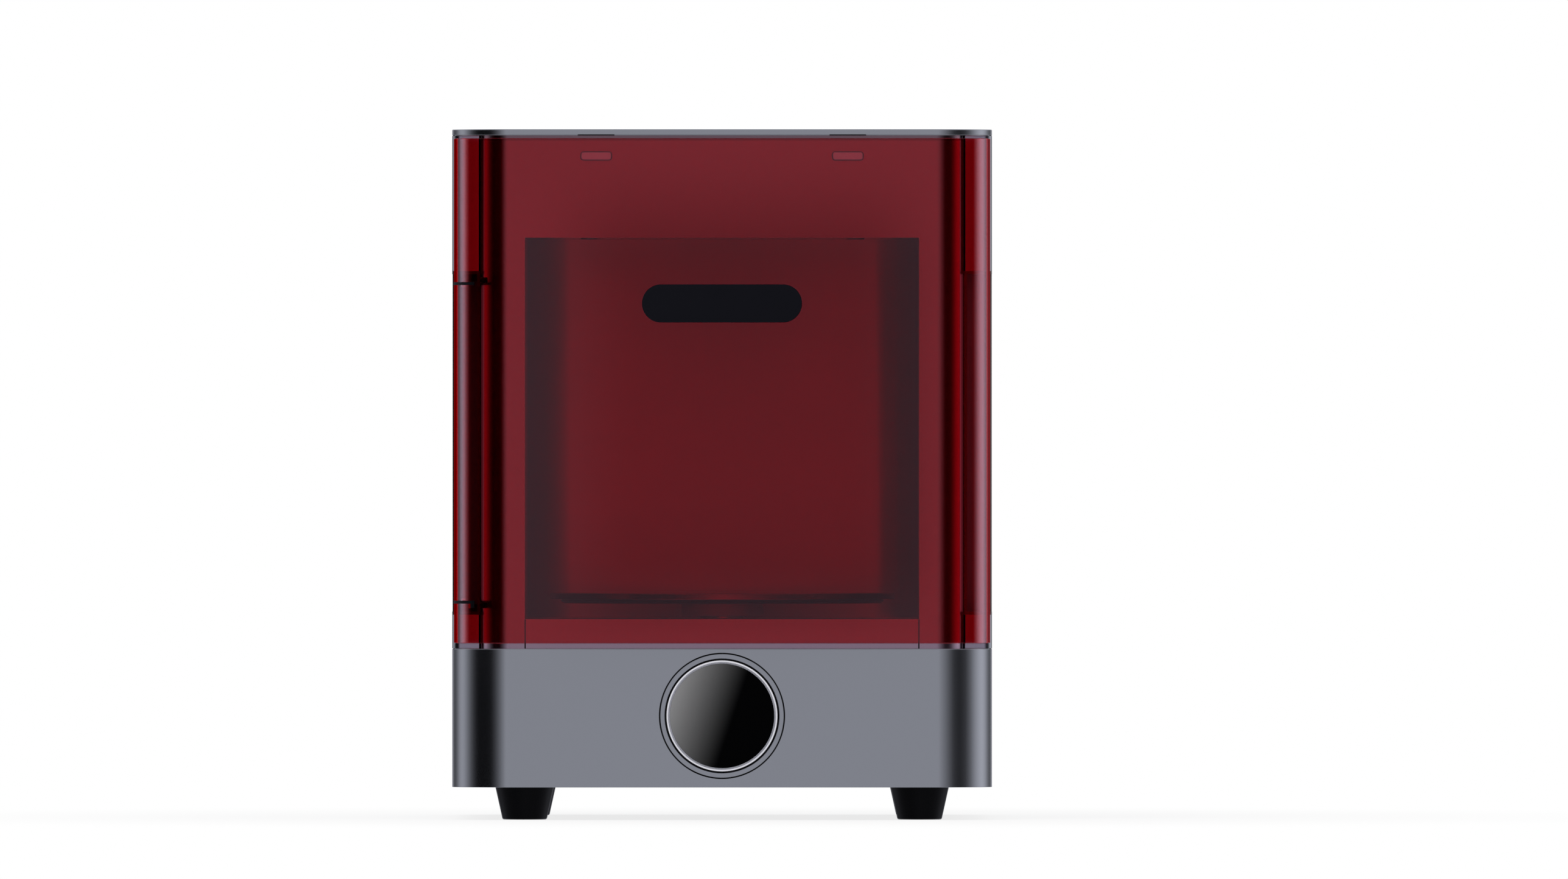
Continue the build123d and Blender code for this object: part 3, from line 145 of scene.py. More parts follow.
class Tree:
    """A node tree being filled."""

    def __init__(self, nodes: bpy.types.NodeTree) -> None:
        """Empties the tree."""
        self.nodes = nodes
        nodes.nodes.clear()

    def node(
        self,
        kind: str,
        settings: Mapping[str, object] | None = None,
        inputs: Mapping[str | int, Term] | None = None,
        output: str | int = 0,
    ) -> Wire:
        """Adds one node.

        Args:
            kind: The node's type, without its leading word.
            settings: Its own properties, set first; "stops" holds a ramp's (place, grey) pairs.
            inputs: Values or wires by socket.
            output: The socket that is handed back.

        Returns:
            The chosen output, or the first input of a node that has none.
        """
        made = self.nodes.nodes.new("ShaderNode" + kind)
        for key, value in (settings or {}).items():
            if key == "stops":
                self.set_stops(made.color_ramp, value)
            else:
                setattr(made, key, value)
        for key, value in (inputs or {}).items():
            if isinstance(value, Wire):
                self.nodes.links.new(value.socket, made.inputs[key])
            else:
                made.inputs[key].default_value = value
        return Wire(self, made.outputs[output] if made.outputs else made.inputs[0])

    @staticmethod
    def set_stops(ramp: bpy.types.ColorRamp, stops: Sequence[Vec2]) -> None:
        """Gives a ramp its stops.

        Args:
            ramp: The ramp.
            stops: (place, grey) of each stop, in rising order.
        """
        while len(ramp.elements) > 1:
            ramp.elements.remove(ramp.elements[-1])
        for index, (place, grey) in enumerate(stops):
            stop = ramp.elements[0] if index == 0 else ramp.elements.new(place)
            stop.position = place
            stop.color = (grey, grey, grey, 1.0)

    def place(self, centre: Vec3 = ORIGIN, size: Vec3 = (1.0, 1.0, 1.0)) -> Wire:
        """Object coordinates measured from a centre, in units of size, all in metres."""
        inputs = {"Vector": self.node("TexCoord", output="Object"), "Location": centre, "Scale": size}
        return self.node("Mapping", {"vector_type": "TEXTURE"}, inputs)

    def axis(self, vector: Wire, name: str) -> Wire:
        """One axis of a vector."""
        return self.node("SeparateXYZ", inputs={0: vector}, output=name)

    def length(self, vector: Wire) -> Wire:
        """Length of a vector."""
        return self.node("VectorMath", {"operation": "LENGTH"}, {0: vector}, "Value")

    def ray(self, name: str) -> Wire:
        """What kind of ray looks, or how often it has turned, by the name of the output."""
        return self.node("LightPath", output=name)

    def grain(self, size: float, detail: float = 2.0, stretch: Vec3 = (1.0, 1.0, 1.0)) -> Wire:
        """Noise between 0 and 1 whose spots are about size millimetres, drawn out by stretch."""
        span = tuple(size * METRE * part for part in stretch)
        return self.node("TexNoise", inputs={"Vector": self.place(size=span), "Scale": 1.0, "Detail": detail})

    def blend(self, factor: Term, first: Term, second: Term) -> Wire:
        """Colour that goes from first to second as factor goes from 0 to 1."""
        return self.node("Mix", {"data_type": "RGBA"}, {0: factor, 6: first, 7: second}, 2)

    def shades(self, factor: Wire, colour: Colour, low: float, high: float) -> Wire:
        """The colour, low times as strong where factor is 0 and high times where it is 1."""
        return self.blend(factor, solid_colour(colour, low), solid_colour(colour, high))

    def mix(self, factor: Term, first: Wire, second: Wire) -> Wire:
        """Shader that goes from first to second as factor goes from 0 to 1."""
        return self.node("MixShader", inputs={0: factor, 1: first, 2: second})

    def plain(self, kind: str, colour: Colour) -> Wire:
        """Shader of one colour."""
        return self.node(kind, inputs={"Color": solid_colour(colour)})

    def relief(self, height: Wire, depth: float, strength: float = 0.5) -> Wire:
        """Normal of a surface raised by height times depth millimetres."""
        return self.node("Bump", inputs={"Height": height, "Distance": depth * METRE, "Strength": strength})

    def principled(self, **inputs: Term) -> Wire:
        """Principled shader; a socket's spaces are written as underscores."""
        named = {key.replace("_", " "): value for key, value in inputs.items()}
        return self.node("BsdfPrincipled", inputs=named)


def solid_colour(colour: Colour, factor: float = 1.0) -> Vec4:
    """The colour times a factor, with alpha 1."""
    red, green, blue = (part * factor for part in colour)
    return (red, green, blue, 1.0)


def new_material(name: str) -> tuple[bpy.types.Material, Tree]:
    """A material without nodes, and its tree."""
    made = bpy.data.materials.new(name)
    made.use_nodes = True
    return made, Tree(made.node_tree)


# ------------------------------------------------------------------ finishes
@dataclass(frozen=True)
class Finish(ABC):
    """The finish of a surface, made once as a material, and the record's slot that it belongs to."""

    name: str
    slot: str

    @abstractmethod
    def surface(self, tree: Tree) -> Wire:
        """The surface shader."""

    def inside(self, tree: Tree) -> Wire | None:
        """The volume shader, where the material has one."""
        return None

    def material(self) -> bpy.types.Material:
        """The material of this finish, built on first use.

        Returns:
            The material.
        """
        made = bpy.data.materials.get(self.name)
        if made is None:
            made, tree = new_material(self.name)
            ends: dict[str | int, Term] = {"Surface": self.surface(tree)}
            volume = self.inside(tree)
            if volume is not None:
                ends["Volume"] = volume
            tree.node("OutputMaterial", inputs=ends)
        return made


@dataclass(frozen=True)
class PaintedShadeBand:
    """Painted shade along an edge of a part: whole past one place along an axis, with its share of the part's
    colour.
    """

    axis: str
    start: float
    whole: float
    share: Colour


@dataclass(frozen=True)
class SatinMetal(Finish):
    """Metal under a thin satin coat: even, with a fine grain and faint clouds of gloss."""

    colour: Colour
    roughness: float = 0.18
    painted_shade_bands: tuple[PaintedShadeBand, ...] = ()
    cloud_size: float = 60.0
    cloud_gloss: float = 0.04
    grain_size: float = 0.35
    grain_gloss: float = 0.03
    grain_depth: float = 0.002

    def surface(self, tree: Tree) -> Wire:
        """Grey metal whose gloss wanders slowly, with a fine grain, and painted shade along its shade bands.
        """
        cloud = tree.grain(self.cloud_size, 3.0)
        grain = tree.grain(self.grain_size)
        coat = tree.shades(cloud, self.colour, 0.985, 1.015)
        # Painted shade: past each band's place the colour is darkened and tinted, standing in for shade and
        # coloured light.
        for shade_band in self.painted_shade_bands:
            along = tree.axis(tree.place(), shade_band.axis) / METRE
            shaded_colour = tuple(part * share for part, share in zip(self.colour, shade_band.share))
            coat = tree.blend(along.ease(shade_band.start, shade_band.whole), coat, solid_colour(shaded_colour))
        return tree.principled(
            Base_Color=coat,
            Metallic=1.0,
            Roughness=self.roughness + (cloud - 0.5) * self.cloud_gloss + (grain - 0.5) * self.grain_gloss,
            Normal=tree.relief(grain, self.grain_depth, 0.4),
        )


class Lay(Enum):
    """The way the marks of a tool run; each value draws the grain out along its own axis."""

    ALONG_X = (60.0, 1.0, 1.0)
    ALONG_Y = (1.0, 60.0, 1.0)
    ALONG_Z = (1.0, 1.0, 60.0)


@dataclass(frozen=True)
class BrushedMetal(Finish):
    """Bare metal brushed, rolled or extruded along one axis."""

    colour: Colour
    roughness: float
    lay: Lay
    mark_size: float = 0.18
    mark_gloss: float = 0.16
    mark_depth: float = 0.004
    cloud_size: float = 25.0
    cloud_gloss: float = 0.05

    def surface(self, tree: Tree) -> Wire:
        """Long fine scratches that shift both the gloss and the normal."""
        marks = tree.grain(self.mark_size, 3.0, self.lay.value)
        cloud = tree.grain(self.cloud_size)
        return tree.principled(
            Base_Color=tree.shades(marks, self.colour, 0.93, 1.04),
            Metallic=1.0,
            Roughness=self.roughness + (marks - 0.5) * self.mark_gloss + (cloud - 0.5) * self.cloud_gloss,
            Normal=tree.relief(marks, self.mark_depth),
        )


@dataclass(frozen=True)
class TurnedMetal(Finish):
    """Metal faced on a lathe: fine rings about an axis through centre; across picks what lies across it."""

    colour: Colour
    centre: Vec3
    across: Vec3
    roughness: float = 0.2
    metallic: float = 1.0
    pitch: float = 0.12
    ring_gloss: float = 0.1
    ring_depth: float = 0.0015

    def surface(self, tree: Tree) -> Wire:
        """Noise on the distance from the axis, which gives rings of uneven depth."""
        place = tree.place(self.centre)
        offset = tree.node("VectorMath", {"operation": "MULTIPLY"}, {0: place, 1: self.across})
        turn = {"W": tree.length(offset) / (self.pitch * METRE), "Scale": 1.0, "Detail": 2.0}
        rings = tree.node("TexNoise", {"noise_dimensions": "1D"}, turn)
        return tree.principled(
            Base_Color=tree.shades(rings, self.colour, 0.95, 1.03),
            Metallic=self.metallic,
            Roughness=self.roughness + (rings - 0.5) * self.ring_gloss,
            Normal=tree.relief(rings, self.ring_depth),
        )


@dataclass(frozen=True)
class MouldedPlastic(Finish):
    """Moulded or rubbery plastic with an even spark-eroded texture."""

    colour: Colour
    roughness: float = 0.45
    texture_size: float = 0.5
    texture_depth: float = 0.03
    specular: float = 0.4
    pit_gloss: float = 0.15
    drift_size: float = 30.0
    drift_gloss: float = 0.06

    def surface(self, tree: Tree) -> Wire:
        """Small rounded pits and a slow drift of gloss."""
        pits = tree.grain(self.texture_size, 4.0)
        drift = tree.grain(self.drift_size)
        return tree.principled(
            Base_Color=tree.shades(drift, self.colour, 0.88, 1.12),
            Roughness=self.roughness + (pits - 0.5) * self.pit_gloss + (drift - 0.5) * self.drift_gloss,
            Specular_IOR_Level=self.specular,
            Normal=tree.relief(pits, self.texture_depth),
        )


@dataclass(frozen=True)
class TintedAcrylic(Finish):
    """Polished clear sheet dyed through, whose tint deepens with the way that light travels in it."""

    kept: Colour = (0.9, 0.085, 0.125)  # share of light left after one sheet's thickness
    thickness: float = 3.0
    index: float = 1.49
    # Painted light: between these depths the trailing edge glows by emission, over a deeper red tint.
    painted_glow_y: Vec2 = (-113.9, -112.8)  # depths between which the trailing edge starts to glow
    painted_edge_glow: Colour = (0.16, 0.0005, 0.001)
    painted_glow_tint: Colour = (0.06, 0.0, 0.0)

    def surface(self, tree: Tree) -> Wire:
        """Clear refraction, with a painted glow along the trailing edge (emission and a deeper red tint), and
        a plain tint that lets shadows through.
        """
        # Painted light: mask of the painted glow at the trailing edge.
        painted_glow = (tree.axis(tree.place(), "Y") / METRE).ease(*self.painted_glow_y)
        clear = tree.principled(
            Base_Color=tree.blend(painted_glow, solid_colour(WHITE), solid_colour(self.painted_glow_tint)),
            Roughness=0.0,
            IOR=self.index,
            Transmission_Weight=1.0,
            Emission_Color=tree.blend(painted_glow, solid_colour(BLACK), solid_colour(self.painted_edge_glow)),
            Emission_Strength=1.0,
        )
        tint = tree.plain("BsdfTransparent", tuple(math.sqrt(part) for part in self.kept))
        return tree.mix(tree.ray("Is Shadow Ray"), clear, tint)

    def inside(self, tree: Tree) -> Wire:
        """Absorption that leaves the kept share after one thickness: rate = -ln(kept) / thickness."""
        rates = [-math.log(part) / (self.thickness * METRE) for part in self.kept]
        density = max(rates) * 1.02
        colour = solid_colour(tuple(1.0 - rate / density for rate in rates))
        return tree.node("VolumeAbsorption", inputs={"Color": colour, "Density": density})


@dataclass(frozen=True)
class DisplayGlass(Finish):
    """Black glass with a painted reflection: a soft grey sheen over its left half."""

    centre: Vec3
    radius: float
    edge: float = 6.1
    slope: float = 0.336
    painted_sheen: float = 0.235
    falloff: float = 1.5
    dark: Colour = (0.0003, 0.0003, 0.0004)
    pale: Colour = (0.98, 0.98, 1.0)

    def surface(self, tree: Tree) -> Wire:
        """Painted reflection: grey that falls to black at a slanted line, strongest at the left rim."""
        place = tree.place(self.centre)
        across, upward = tree.axis(place, "X") / METRE, tree.axis(place, "Z") / METRE
        run = (across - self.slope * upward - self.edge) / -(self.radius + self.edge)
        # Painted reflection in the base colour, fixed to the glass.
        grey = self.painted_sheen * run.most(0.0).power(self.falloff)
        painted_reflection = tree.blend(grey, solid_colour(self.dark), solid_colour(self.pale))
        return tree.principled(Base_Color=painted_reflection, Roughness=0.06, Specular_IOR_Level=0.02)


@dataclass(frozen=True)
class CircuitBoard(Finish):
    """Solder mask over copper tracks, with bare pads."""

    mask: Colour = (0.012, 0.09, 0.04)
    track: Colour = (0.03, 0.2, 0.09)
    field_size: float = 0.02

    def surface(self, tree: Tree) -> Wire:
        """Two sets of lines at right angles, broken up by noise, show the tracks below the mask."""
        inputs = {
            "Vector": tree.place(size=(self.field_size,) * 3),
            "Color1": solid_colour(BLACK),
            "Color2": solid_colour(WHITE, 0.25),
            "Mortar": solid_colour(WHITE),
            "Scale": 2.0,
            "Mortar Size": 0.03,
        }
        lines = tree.node("TexBrick", {"offset": 0.37}, inputs, "Fac")
        broken = lines * tree.grain(9.0, 1.0).ease(0.45, 0.55)
        return tree.principled(
            Base_Color=tree.blend(broken, solid_colour(self.mask), solid_colour(self.track)),
            Roughness=0.32 + broken * 0.1,
            Normal=tree.relief(broken, 0.05, 0.6),
        )


@dataclass(frozen=True)
class FrostedSheet(Finish):
    """Milky sheet that spreads the light of the lamps behind it."""

    colour: Colour = (0.82, 0.84, 0.86)

    def surface(self, tree: Tree) -> Wire:
        """Pale sheet with a fine sandblasted grain."""
        grain = tree.grain(0.3, 3.0)
        return tree.principled(
            Base_Color=tree.shades(grain, self.colour, 0.97, 1.03),
            Roughness=0.5 + (grain - 0.5) * 0.2,
            Normal=tree.relief(grain, 0.01),
        )


# ------------------------------------------------------------------ surfaces
@dataclass(frozen=True)
class Shape:
    """Points in millimetres and the faces that join them."""

    points: Array
    faces: list[list[int]]

    def __add__(self, other: "Shape") -> "Shape":
        """Both shapes side by side."""
        shift = len(self.points)
        moved = [[index + shift for index in face] for face in other.faces]
        return Shape(np.vstack([self.points, other.points]), self.faces + moved)


class Facing(Enum):
    """Ways an outline can face; each value holds its right, up and outward axes."""

    UP = ((1, 0, 0), (0, 1, 0), (0, 0, 1))
    FRONT = ((1, 0, 0), (0, 0, 1), (0, -1, 0))
    REAR = ((-1, 0, 0), (0, 0, 1), (0, 1, 0))

    def put(self, points: Array, seat: Vec3) -> Array:
        """Points given as (right, up, outward) moved to the unit's own axes at seat."""
        return points @ np.array(self.value, float) + np.array(seat, float)


def soften(
    corners: Sequence[Vec2] | Array, radii: float | Sequence[float], steps: int = 4, closed: bool = False
) -> Array:
    """Outline whose corners are rounded.

    A corner of half-angle h becomes an arc of radius r that touches both runs r / tan h from the
    corner, about a centre r / sin h along the bisector.

    Args:
        corners: The outline's corners in order.
        radii: One radius, or one for each corner; 0 keeps a corner sharp.
        steps: Straight pieces in each arc.
        closed: Whether the last corner joins the first.

    Returns:
        The points of the outline, one row each.
    """
    nodes = np.array(corners, float)
    sizes = np.broadcast_to(np.array(radii, float), len(nodes))
    share = np.linspace(0.0, 1.0, steps + 1)[:, None]
    parts = []
    for index, (corner, radius) in enumerate(zip(nodes, sizes)):
        if radius <= 0 or (not closed and index in (0, len(nodes) - 1)):
            parts.append(corner[None])
            continue
        back = nodes[index - 1] - corner
        ahead = nodes[(index + 1) % len(nodes)] - corner
        back /= np.linalg.norm(back)
        ahead /= np.linalg.norm(ahead)
        half = math.acos(float(np.clip(back @ ahead, -1.0, 1.0))) / 2
        middle = (back + ahead) / np.linalg.norm(back + ahead) * radius / math.sin(half)
        first = back * radius / math.tan(half) - middle
        last = ahead * radius / math.tan(half) - middle
        turn = math.pi - 2 * half
        arc = (np.sin((1 - share) * turn) * first + np.sin(share * turn) * last) / math.sin(turn)
        parts.append(corner + middle + arc)
    return np.vstack(parts)


class Plan(ABC):
    """A closed outline that can be drawn in by an inset."""

    @abstractmethod
    def outline(self, inset: float) -> Array:
        """The outline drawn in by inset, running anticlockwise, one row for each point."""


@dataclass(frozen=True)
class Rounded(Plan):
    """Rectangle with round corners about the origin."""

    half_u: float
    half_v: float
    corner: float
    steps: int = 12

    def outline(self, inset: float) -> Array:
        """Arc centres stay in place while the arcs shrink: centre + (corner - inset) * (cos a, sin a).

        Args:
            inset: How far the outline is drawn in; past the corner's radius the centres move too.

        Returns:
            The points, without the second of two that fall together.
        """
        radius = max(self.corner - inset, 0.0)
        spare = max(inset - self.corner, 0.0)
        angle = np.linspace(0.0, math.pi / 2, self.steps + 1)
        quarter = np.arange(4)[:, None] * math.pi / 2 + angle[None, :]
        signs = np.array([(1, 1), (-1, 1), (-1, -1), (1, -1)], float)
        reach = np.array([self.half_u - self.corner - spare, self.half_v - self.corner - spare])
        arcs = radius * np.stack([np.cos(quarter), np.sin(quarter)], axis=2) + (signs * reach)[:, None, :]
        keep = np.ones((4, self.steps + 1), bool)
        keep[[0, 2], -1] = self.half_u > self.corner
        keep[[1, 3], -1] = self.half_v > self.corner
        return arcs[keep]

    def grown(self, gap: float, steps: int) -> "Rounded":
        """The outline moved out by a gap all round."""
        return Rounded(self.half_u + gap, self.half_v + gap, self.corner + gap, steps)


@dataclass(frozen=True)
class Disc(Plan):
    """Circle about the origin."""

    radius: float
    steps: int = 96

    def outline(self, inset: float) -> Array:
        """Points (radius - inset) * (cos a, sin a) at even angles."""
        angle = np.arange(self.steps) * 2 * math.pi / self.steps
        return (self.radius - inset) * np.column_stack([np.cos(angle), np.sin(angle)])


def net(rows: int, columns: int, wrap_rows: bool, wrap_columns: bool) -> Array:
    """Quads of a grid whose point (i, j) has index i * columns + j.

    Args:
        rows: Number of rows of points.
        columns: Number of points in a row.
        wrap_rows: Whether the last row joins the first.
        wrap_columns: Whether the last column joins the first.

    Returns:
        One quad in each row: along the columns first, then up the rows.
    """
    row = np.arange(rows if wrap_rows else rows - 1)[:, None]
    column = np.arange(columns if wrap_columns else columns - 1)[None, :]
    below, above = row * columns, (row + 1) % rows * columns
    beside = (column + 1) % columns
    corners = (below + column, below + beside, above + beside, above + column)
    return np.stack(corners, 2).reshape(-1, 4)


def tower(
    plan: Plan, profile: Array | Sequence[Vec2], facing: Facing, seat: Vec3, ring: bool = False
) -> Shape:
    """An outline carried up a profile.

    Point (i, k) is the k-th point of the plan drawn in by the i-th inset, at the i-th height.

    Args:
        plan: The outline.
        profile: (inset, height) of each level. Where the height grows the wall faces out.
        facing: Which way the heights run.
        seat: Where the plan's middle lies.
        ring: Whether the profile closes on itself; if not, both ends get a flat cap.

    Returns:
        The closed surface.
    """
    levels = [np.insert(plan.outline(inset), 2, height, axis=1) for inset, height in profile]
    count = len(levels[0])
    faces = net(len(levels), count, ring, True).tolist()
    if not ring:
        faces.append(list(range(count))[::-1])
        faces.append(list(range((len(levels) - 1) * count, len(levels) * count)))
    return Shape(facing.put(np.vstack(levels), seat), faces)


def lathe(
    profile: Array | Sequence[Vec2], facing: Facing, seat: Vec3, ring: bool = False, steps: int = 96
) -> Shape:
    """A profile of (radius, height) turned about its axis; radius is 0 inset on a circle of size 0."""
    turned = np.array(profile, float) * (-1.0, 1.0)
    return tower(Disc(0.0, steps), turned, facing, seat, ring)


class Course(ABC):
    """An open path in plan that can be drawn in by a depth."""

    @abstractmethod
    def at(self, depth: float) -> Array:
        """The path depth behind its outer face, as (x, y) rows that run anticlockwise."""


@dataclass(frozen=True)
class Fold(Course):
    """Path of sheet metal through right-angled left turns, each bent to a radius."""

    corners: tuple[Vec2, ...]
    radii: tuple[float, ...]
    steps: int = 24

    def at(self, depth: float) -> Array:
        """Each corner moves by depth along the left normals of its runs, and each bend shrinks by it.

        Args:
            depth: How far the path lies behind the outer face.

        Returns:
            The points.
        """
        nodes = np.array(self.corners, float)
        runs = np.diff(nodes, axis=0)
        runs /= np.linalg.norm(runs, axis=1)[:, None]
        left = np.column_stack([-runs[:, 1], runs[:, 0]])
        none = np.zeros((1, 2))
        radii = np.array(self.radii)
        sizes = np.where(radii > 0, np.maximum(radii - depth, 0.05), 0.0)
        return soften(nodes + (np.vstack([none, left]) + np.vstack([left, none])) * depth, sizes, self.steps)


def band(course: Course, section: Array) -> Shape:
    """A closed section carried along a path, with both ends capped.

    Point (j, i) is the i-th point of the path drawn in by the j-th depth, at the j-th height.

    Args:
        course: The path.
        section: (depth, height) of each point: up the outer face, inwards, down the inner face.

    Returns:
        The closed surface.
    """
    rows = [np.insert(course.at(depth), 2, height, axis=1) for depth, height in section]
    count = len(rows[0])
    starts = [row * count for row in range(len(rows))]
    ends = [start + count - 1 for start in reversed(starts)]
    return Shape(np.vstack(rows), net(len(rows), count, True, False).tolist() + [starts, ends])


def block(low: Vec3, high: Vec3) -> Shape:
    """Plain block between two corners."""
    centre = tuple((first + last) / 2 for first, last in zip(low, high))
    half_x, half_y, half_z = ((last - first) / 2 for first, last in zip(low, high))
    return prism(Rounded(half_x, half_y, 0.0, 0), Facing.UP, centre, -half_z, half_z)


def prism(plan: Plan, facing: Facing, seat: Vec3, low: float, high: float) -> Shape:
    """Plain extrusion of a plan between two heights over its seat."""
    return tower(plan, ((0.0, low), (0.0, high)), facing, seat)


def torus(radius: float, wire: float, facing: Facing, seat: Vec3) -> Shape:
    """Round wire bent to a circle: radius + wire * cos b across, wire * sin b out."""
    angle = np.arange(12) * math.pi / 6
    profile = np.column_stack([radius + wire * np.cos(angle), wire * np.sin(angle)])
    return lathe(profile, facing, seat, ring=True, steps=72)


def rod(start: Vec3, stop: Vec3, radius: float, steps: int = 12) -> Shape:
    """Round rod between two points: start + along * s + radius * (a cos b + c sin b).

    Args:
        start: Middle of one end.
        stop: Middle of the other end.
        radius: Radius of the rod.
        steps: Sides of the rod.

    Returns:
        The closed surface.
    """
    first, last = np.array(start, float), np.array(stop, float)
    along = (last - first) / np.linalg.norm(last - first)
    side = np.cross(along, np.eye(3)[int(np.argmin(np.abs(along)))])
    side /= np.linalg.norm(side)
    circle = Disc(radius, steps).outline(0.0) @ np.vstack([side, np.cross(along, side)])
    faces = net(2, steps, False, True).tolist()
    faces += [list(range(steps))[::-1], list(range(steps, 2 * steps))]
    return Shape(np.vstack([first + circle, last + circle]), faces)


# ------------------------------------------------------------------ pieces
def linked(name: str, mesh: bpy.types.Mesh) -> bpy.types.Object:
    """An object at the origin that holds a mesh."""
    made = bpy.data.objects.new(name, mesh)
    bpy.context.scene.collection.objects.link(made)
    return made


def new_object(name: str, shape: Shape) -> bpy.types.Object:
    """A mesh object at the origin with the shape in its mesh, in metres."""
    mesh = bpy.data.meshes.new(name)
    mesh.from_pydata((shape.points * METRE).tolist(), [], shape.faces)
    return linked(name, mesh)


def carve(piece: bpy.types.Object, cutters: Sequence[Shape]) -> None:
    """Takes the cutters out of a piece and keeps the result in its mesh.

    Args:
        piece: The object to cut.
        cutters: Closed shapes that don't touch each other.
    """
    tool = new_object(piece.name + "_cutter", sum(cutters[1:], cutters[0]))
    modifier = piece.modifiers.new("cut", "BOOLEAN")
    modifier.operation = "DIFFERENCE"
    modifier.solver = "EXACT"
    modifier.object = tool
    graph = bpy.context.evaluated_depsgraph_get()
    cut = bpy.data.meshes.new_from_object(piece.evaluated_get(graph))
    piece.modifiers.clear()
    piece.data = cut
    bpy.data.objects.remove(tool)


def merged(node: str) -> bpy.types.Object:
    """A copy of a CAD node whose loose triangles are joined at their edges.

    Args:
        node: The node's name.

    Returns:
        The copy, without material.
    """
    mesh = frame["nodes"][node].data.copy()
    mesh.name = node + "_skin"
    mesh.materials.clear()
    work = bmesh.new()
    work.from_mesh(mesh)
    bmesh.ops.remove_doubles(work, verts=work.verts, dist=1e-6)
    work.to_mesh(mesh)
    work.free()
    return linked(node + "_skin", mesh)


def smooth(piece: bpy.types.Object, angle: float = 28.0) -> None:
    """Smooth shading that keeps edges sharp and flat faces flat.

    Args:
        piece: The object to shade.
        angle: The bend in degrees above which an edge stays sharp.
    """
    for name in ("custom_normal", "sharp_face"):
        stale = piece.data.attributes.get(name)
        if stale is not None:
            piece.data.attributes.remove(stale)
    piece.data.shade_smooth()
    piece.data.set_sharp_from_angle(angle=math.radians(angle))
    weighted = piece.modifiers.new("flat_faces", "WEIGHTED_NORMAL")
    weighted.keep_sharp = True
    weighted.weight = 100


def dress(piece: bpy.types.Object, finish: Finish) -> None:
    """Gives a piece one finish in place of what it has."""
    piece.data.materials.clear()
    piece.data.materials.append(finish.material())


class Body(Enum):
    """The unit's moving bodies."""

    CABINET = "cabinet"
    DOOR = "door"
    TURNTABLE = "turntable"
    KNOB = "knob"
    KNOB_RIM = "knob_rim"
    FAN = "fan"
    SWITCH = "power_switch"


@dataclass
class Assembly(ABC):
    """A group of pieces that are built and dressed together."""

    pieces: list[bpy.types.Object] = field(default_factory=list, init=False)

    @abstractmethod
    def build(self) -> None:
        """Makes every piece of the group."""

    def add(
        self,
        name: str,
        shape: Shape,
        finish: Finish,
        node: str = "",
        cuts: Sequence[Sequence[Shape]] = (),
        body: Body = Body.CABINET,
    ) -> None:
        """Makes one piece.

        Args:
            name: The piece's name.
            shape: Its surface.
            finish: Its finish.
            node: The CAD node that it stands for, if any.
            cuts: Groups of shapes taken out of it, one group after the other.
            body: The body that it rides on.
        """
        piece = new_object(name, shape)
        for cutters in cuts:
            carve(piece, cutters)
        self.settle(piece, body, finish, (node,) if node else ())

    def skins(self, finish: Finish, *names: str) -> None:
        """Smooth copies of CAD nodes in their places, with a finish."""
        for name in names:
            self.settle(merged(name), Body(frame["nodes"][name]["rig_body"]), finish, (name,))

    def settle(self, piece: bpy.types.Object, body: Body, finish: Finish, nodes: Sequence[str]) -> None:
        """Smooths, dresses and places a piece, and hides the CAD nodes that it stands for.

        Args:
            piece: The object.
            body: The body that it rides on.
            finish: Its finish.
            nodes: The CAD nodes that it stands for.
        """
        smooth(piece)
        dress(piece, finish)
        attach(piece, body.value)
        if nodes:
            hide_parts(*nodes)
        self.pieces.append(piece)


# ------------------------------------------------------------------ shared sizes and finishes
@dataclass(frozen=True)
class Envelope:
    """Sizes and places that the assemblies share."""

    half: float = 132.5
    corner: float = 27.0
    base_z: float = 16.0
    deck_z: float = 84.0
    lid_z: float = 335.7
    top_z: float = 338.7
    groove: Vec2 = (1.3, 0.3)  # depth and height of the joints over the base and under the lid
    cap_inset: float = 20.0  # where a flat top's middle starts
    turn_y: float = -26.25
    knob_z: float = 51.1
    entry_z: float = 50.0
    fan_z: float = 298.0
    magnet_x: float = 61.7

    def plan(self) -> Rounded:
        """The unit's outline in plan."""
        return Rounded(self.half, self.half, self.corner, 40)


UNIT = Envelope()
TURN_AXIS: Vec3 = (0.0, UNIT.turn_y * METRE, 0.0)

CASE_GREY = SatinMetal("case_grey_satin", "grey_metal", (0.43, 0.44, 0.45))
# Painted shade: the return flanges in front of y = -109.3 mm are darkened with a purple cast, standing in for
# the shade and red light behind the door.
SHELL_GREY_PAINTED_SHADE = SatinMetal(
    "shell_grey_painted_shade",
    "grey_metal",
    (0.43, 0.44, 0.45),
    painted_shade_bands=(PaintedShadeBand("Y", -109.3, -109.8, (0.86, 0.72, 0.84)),),
)
# Painted shade and light: below z = 87.4 mm and above z = 333 mm, the strips seen in the gaps under and over
# the door, the frame is darkened and tinted red, standing in for shade and red light from the door.
FRAME_GREY_PAINTED_SHADE = SatinMetal(
    "frame_grey_painted_shade",
    "frame_grey",
    (0.405, 0.41, 0.42),
    painted_shade_bands=(
        PaintedShadeBand("Z", 87.4, 87.0, (0.97, 0.67, 0.79)),
        PaintedShadeBand("Z", 333.0, 333.5, (0.6, 0.39, 0.43)),
    ),
)
MAGNET_METAL = SatinMetal("magnet_nickel", "steel", (0.5, 0.48, 0.42), 0.2)
CATCH_METAL = SatinMetal("catch_plate_satin_steel", "steel", (0.42, 0.39, 0.42))
ARM_METAL = BrushedMetal("hinge_blackened_steel", "hinge_metal", (0.012, 0.012, 0.014), 0.4, Lay.ALONG_Y)
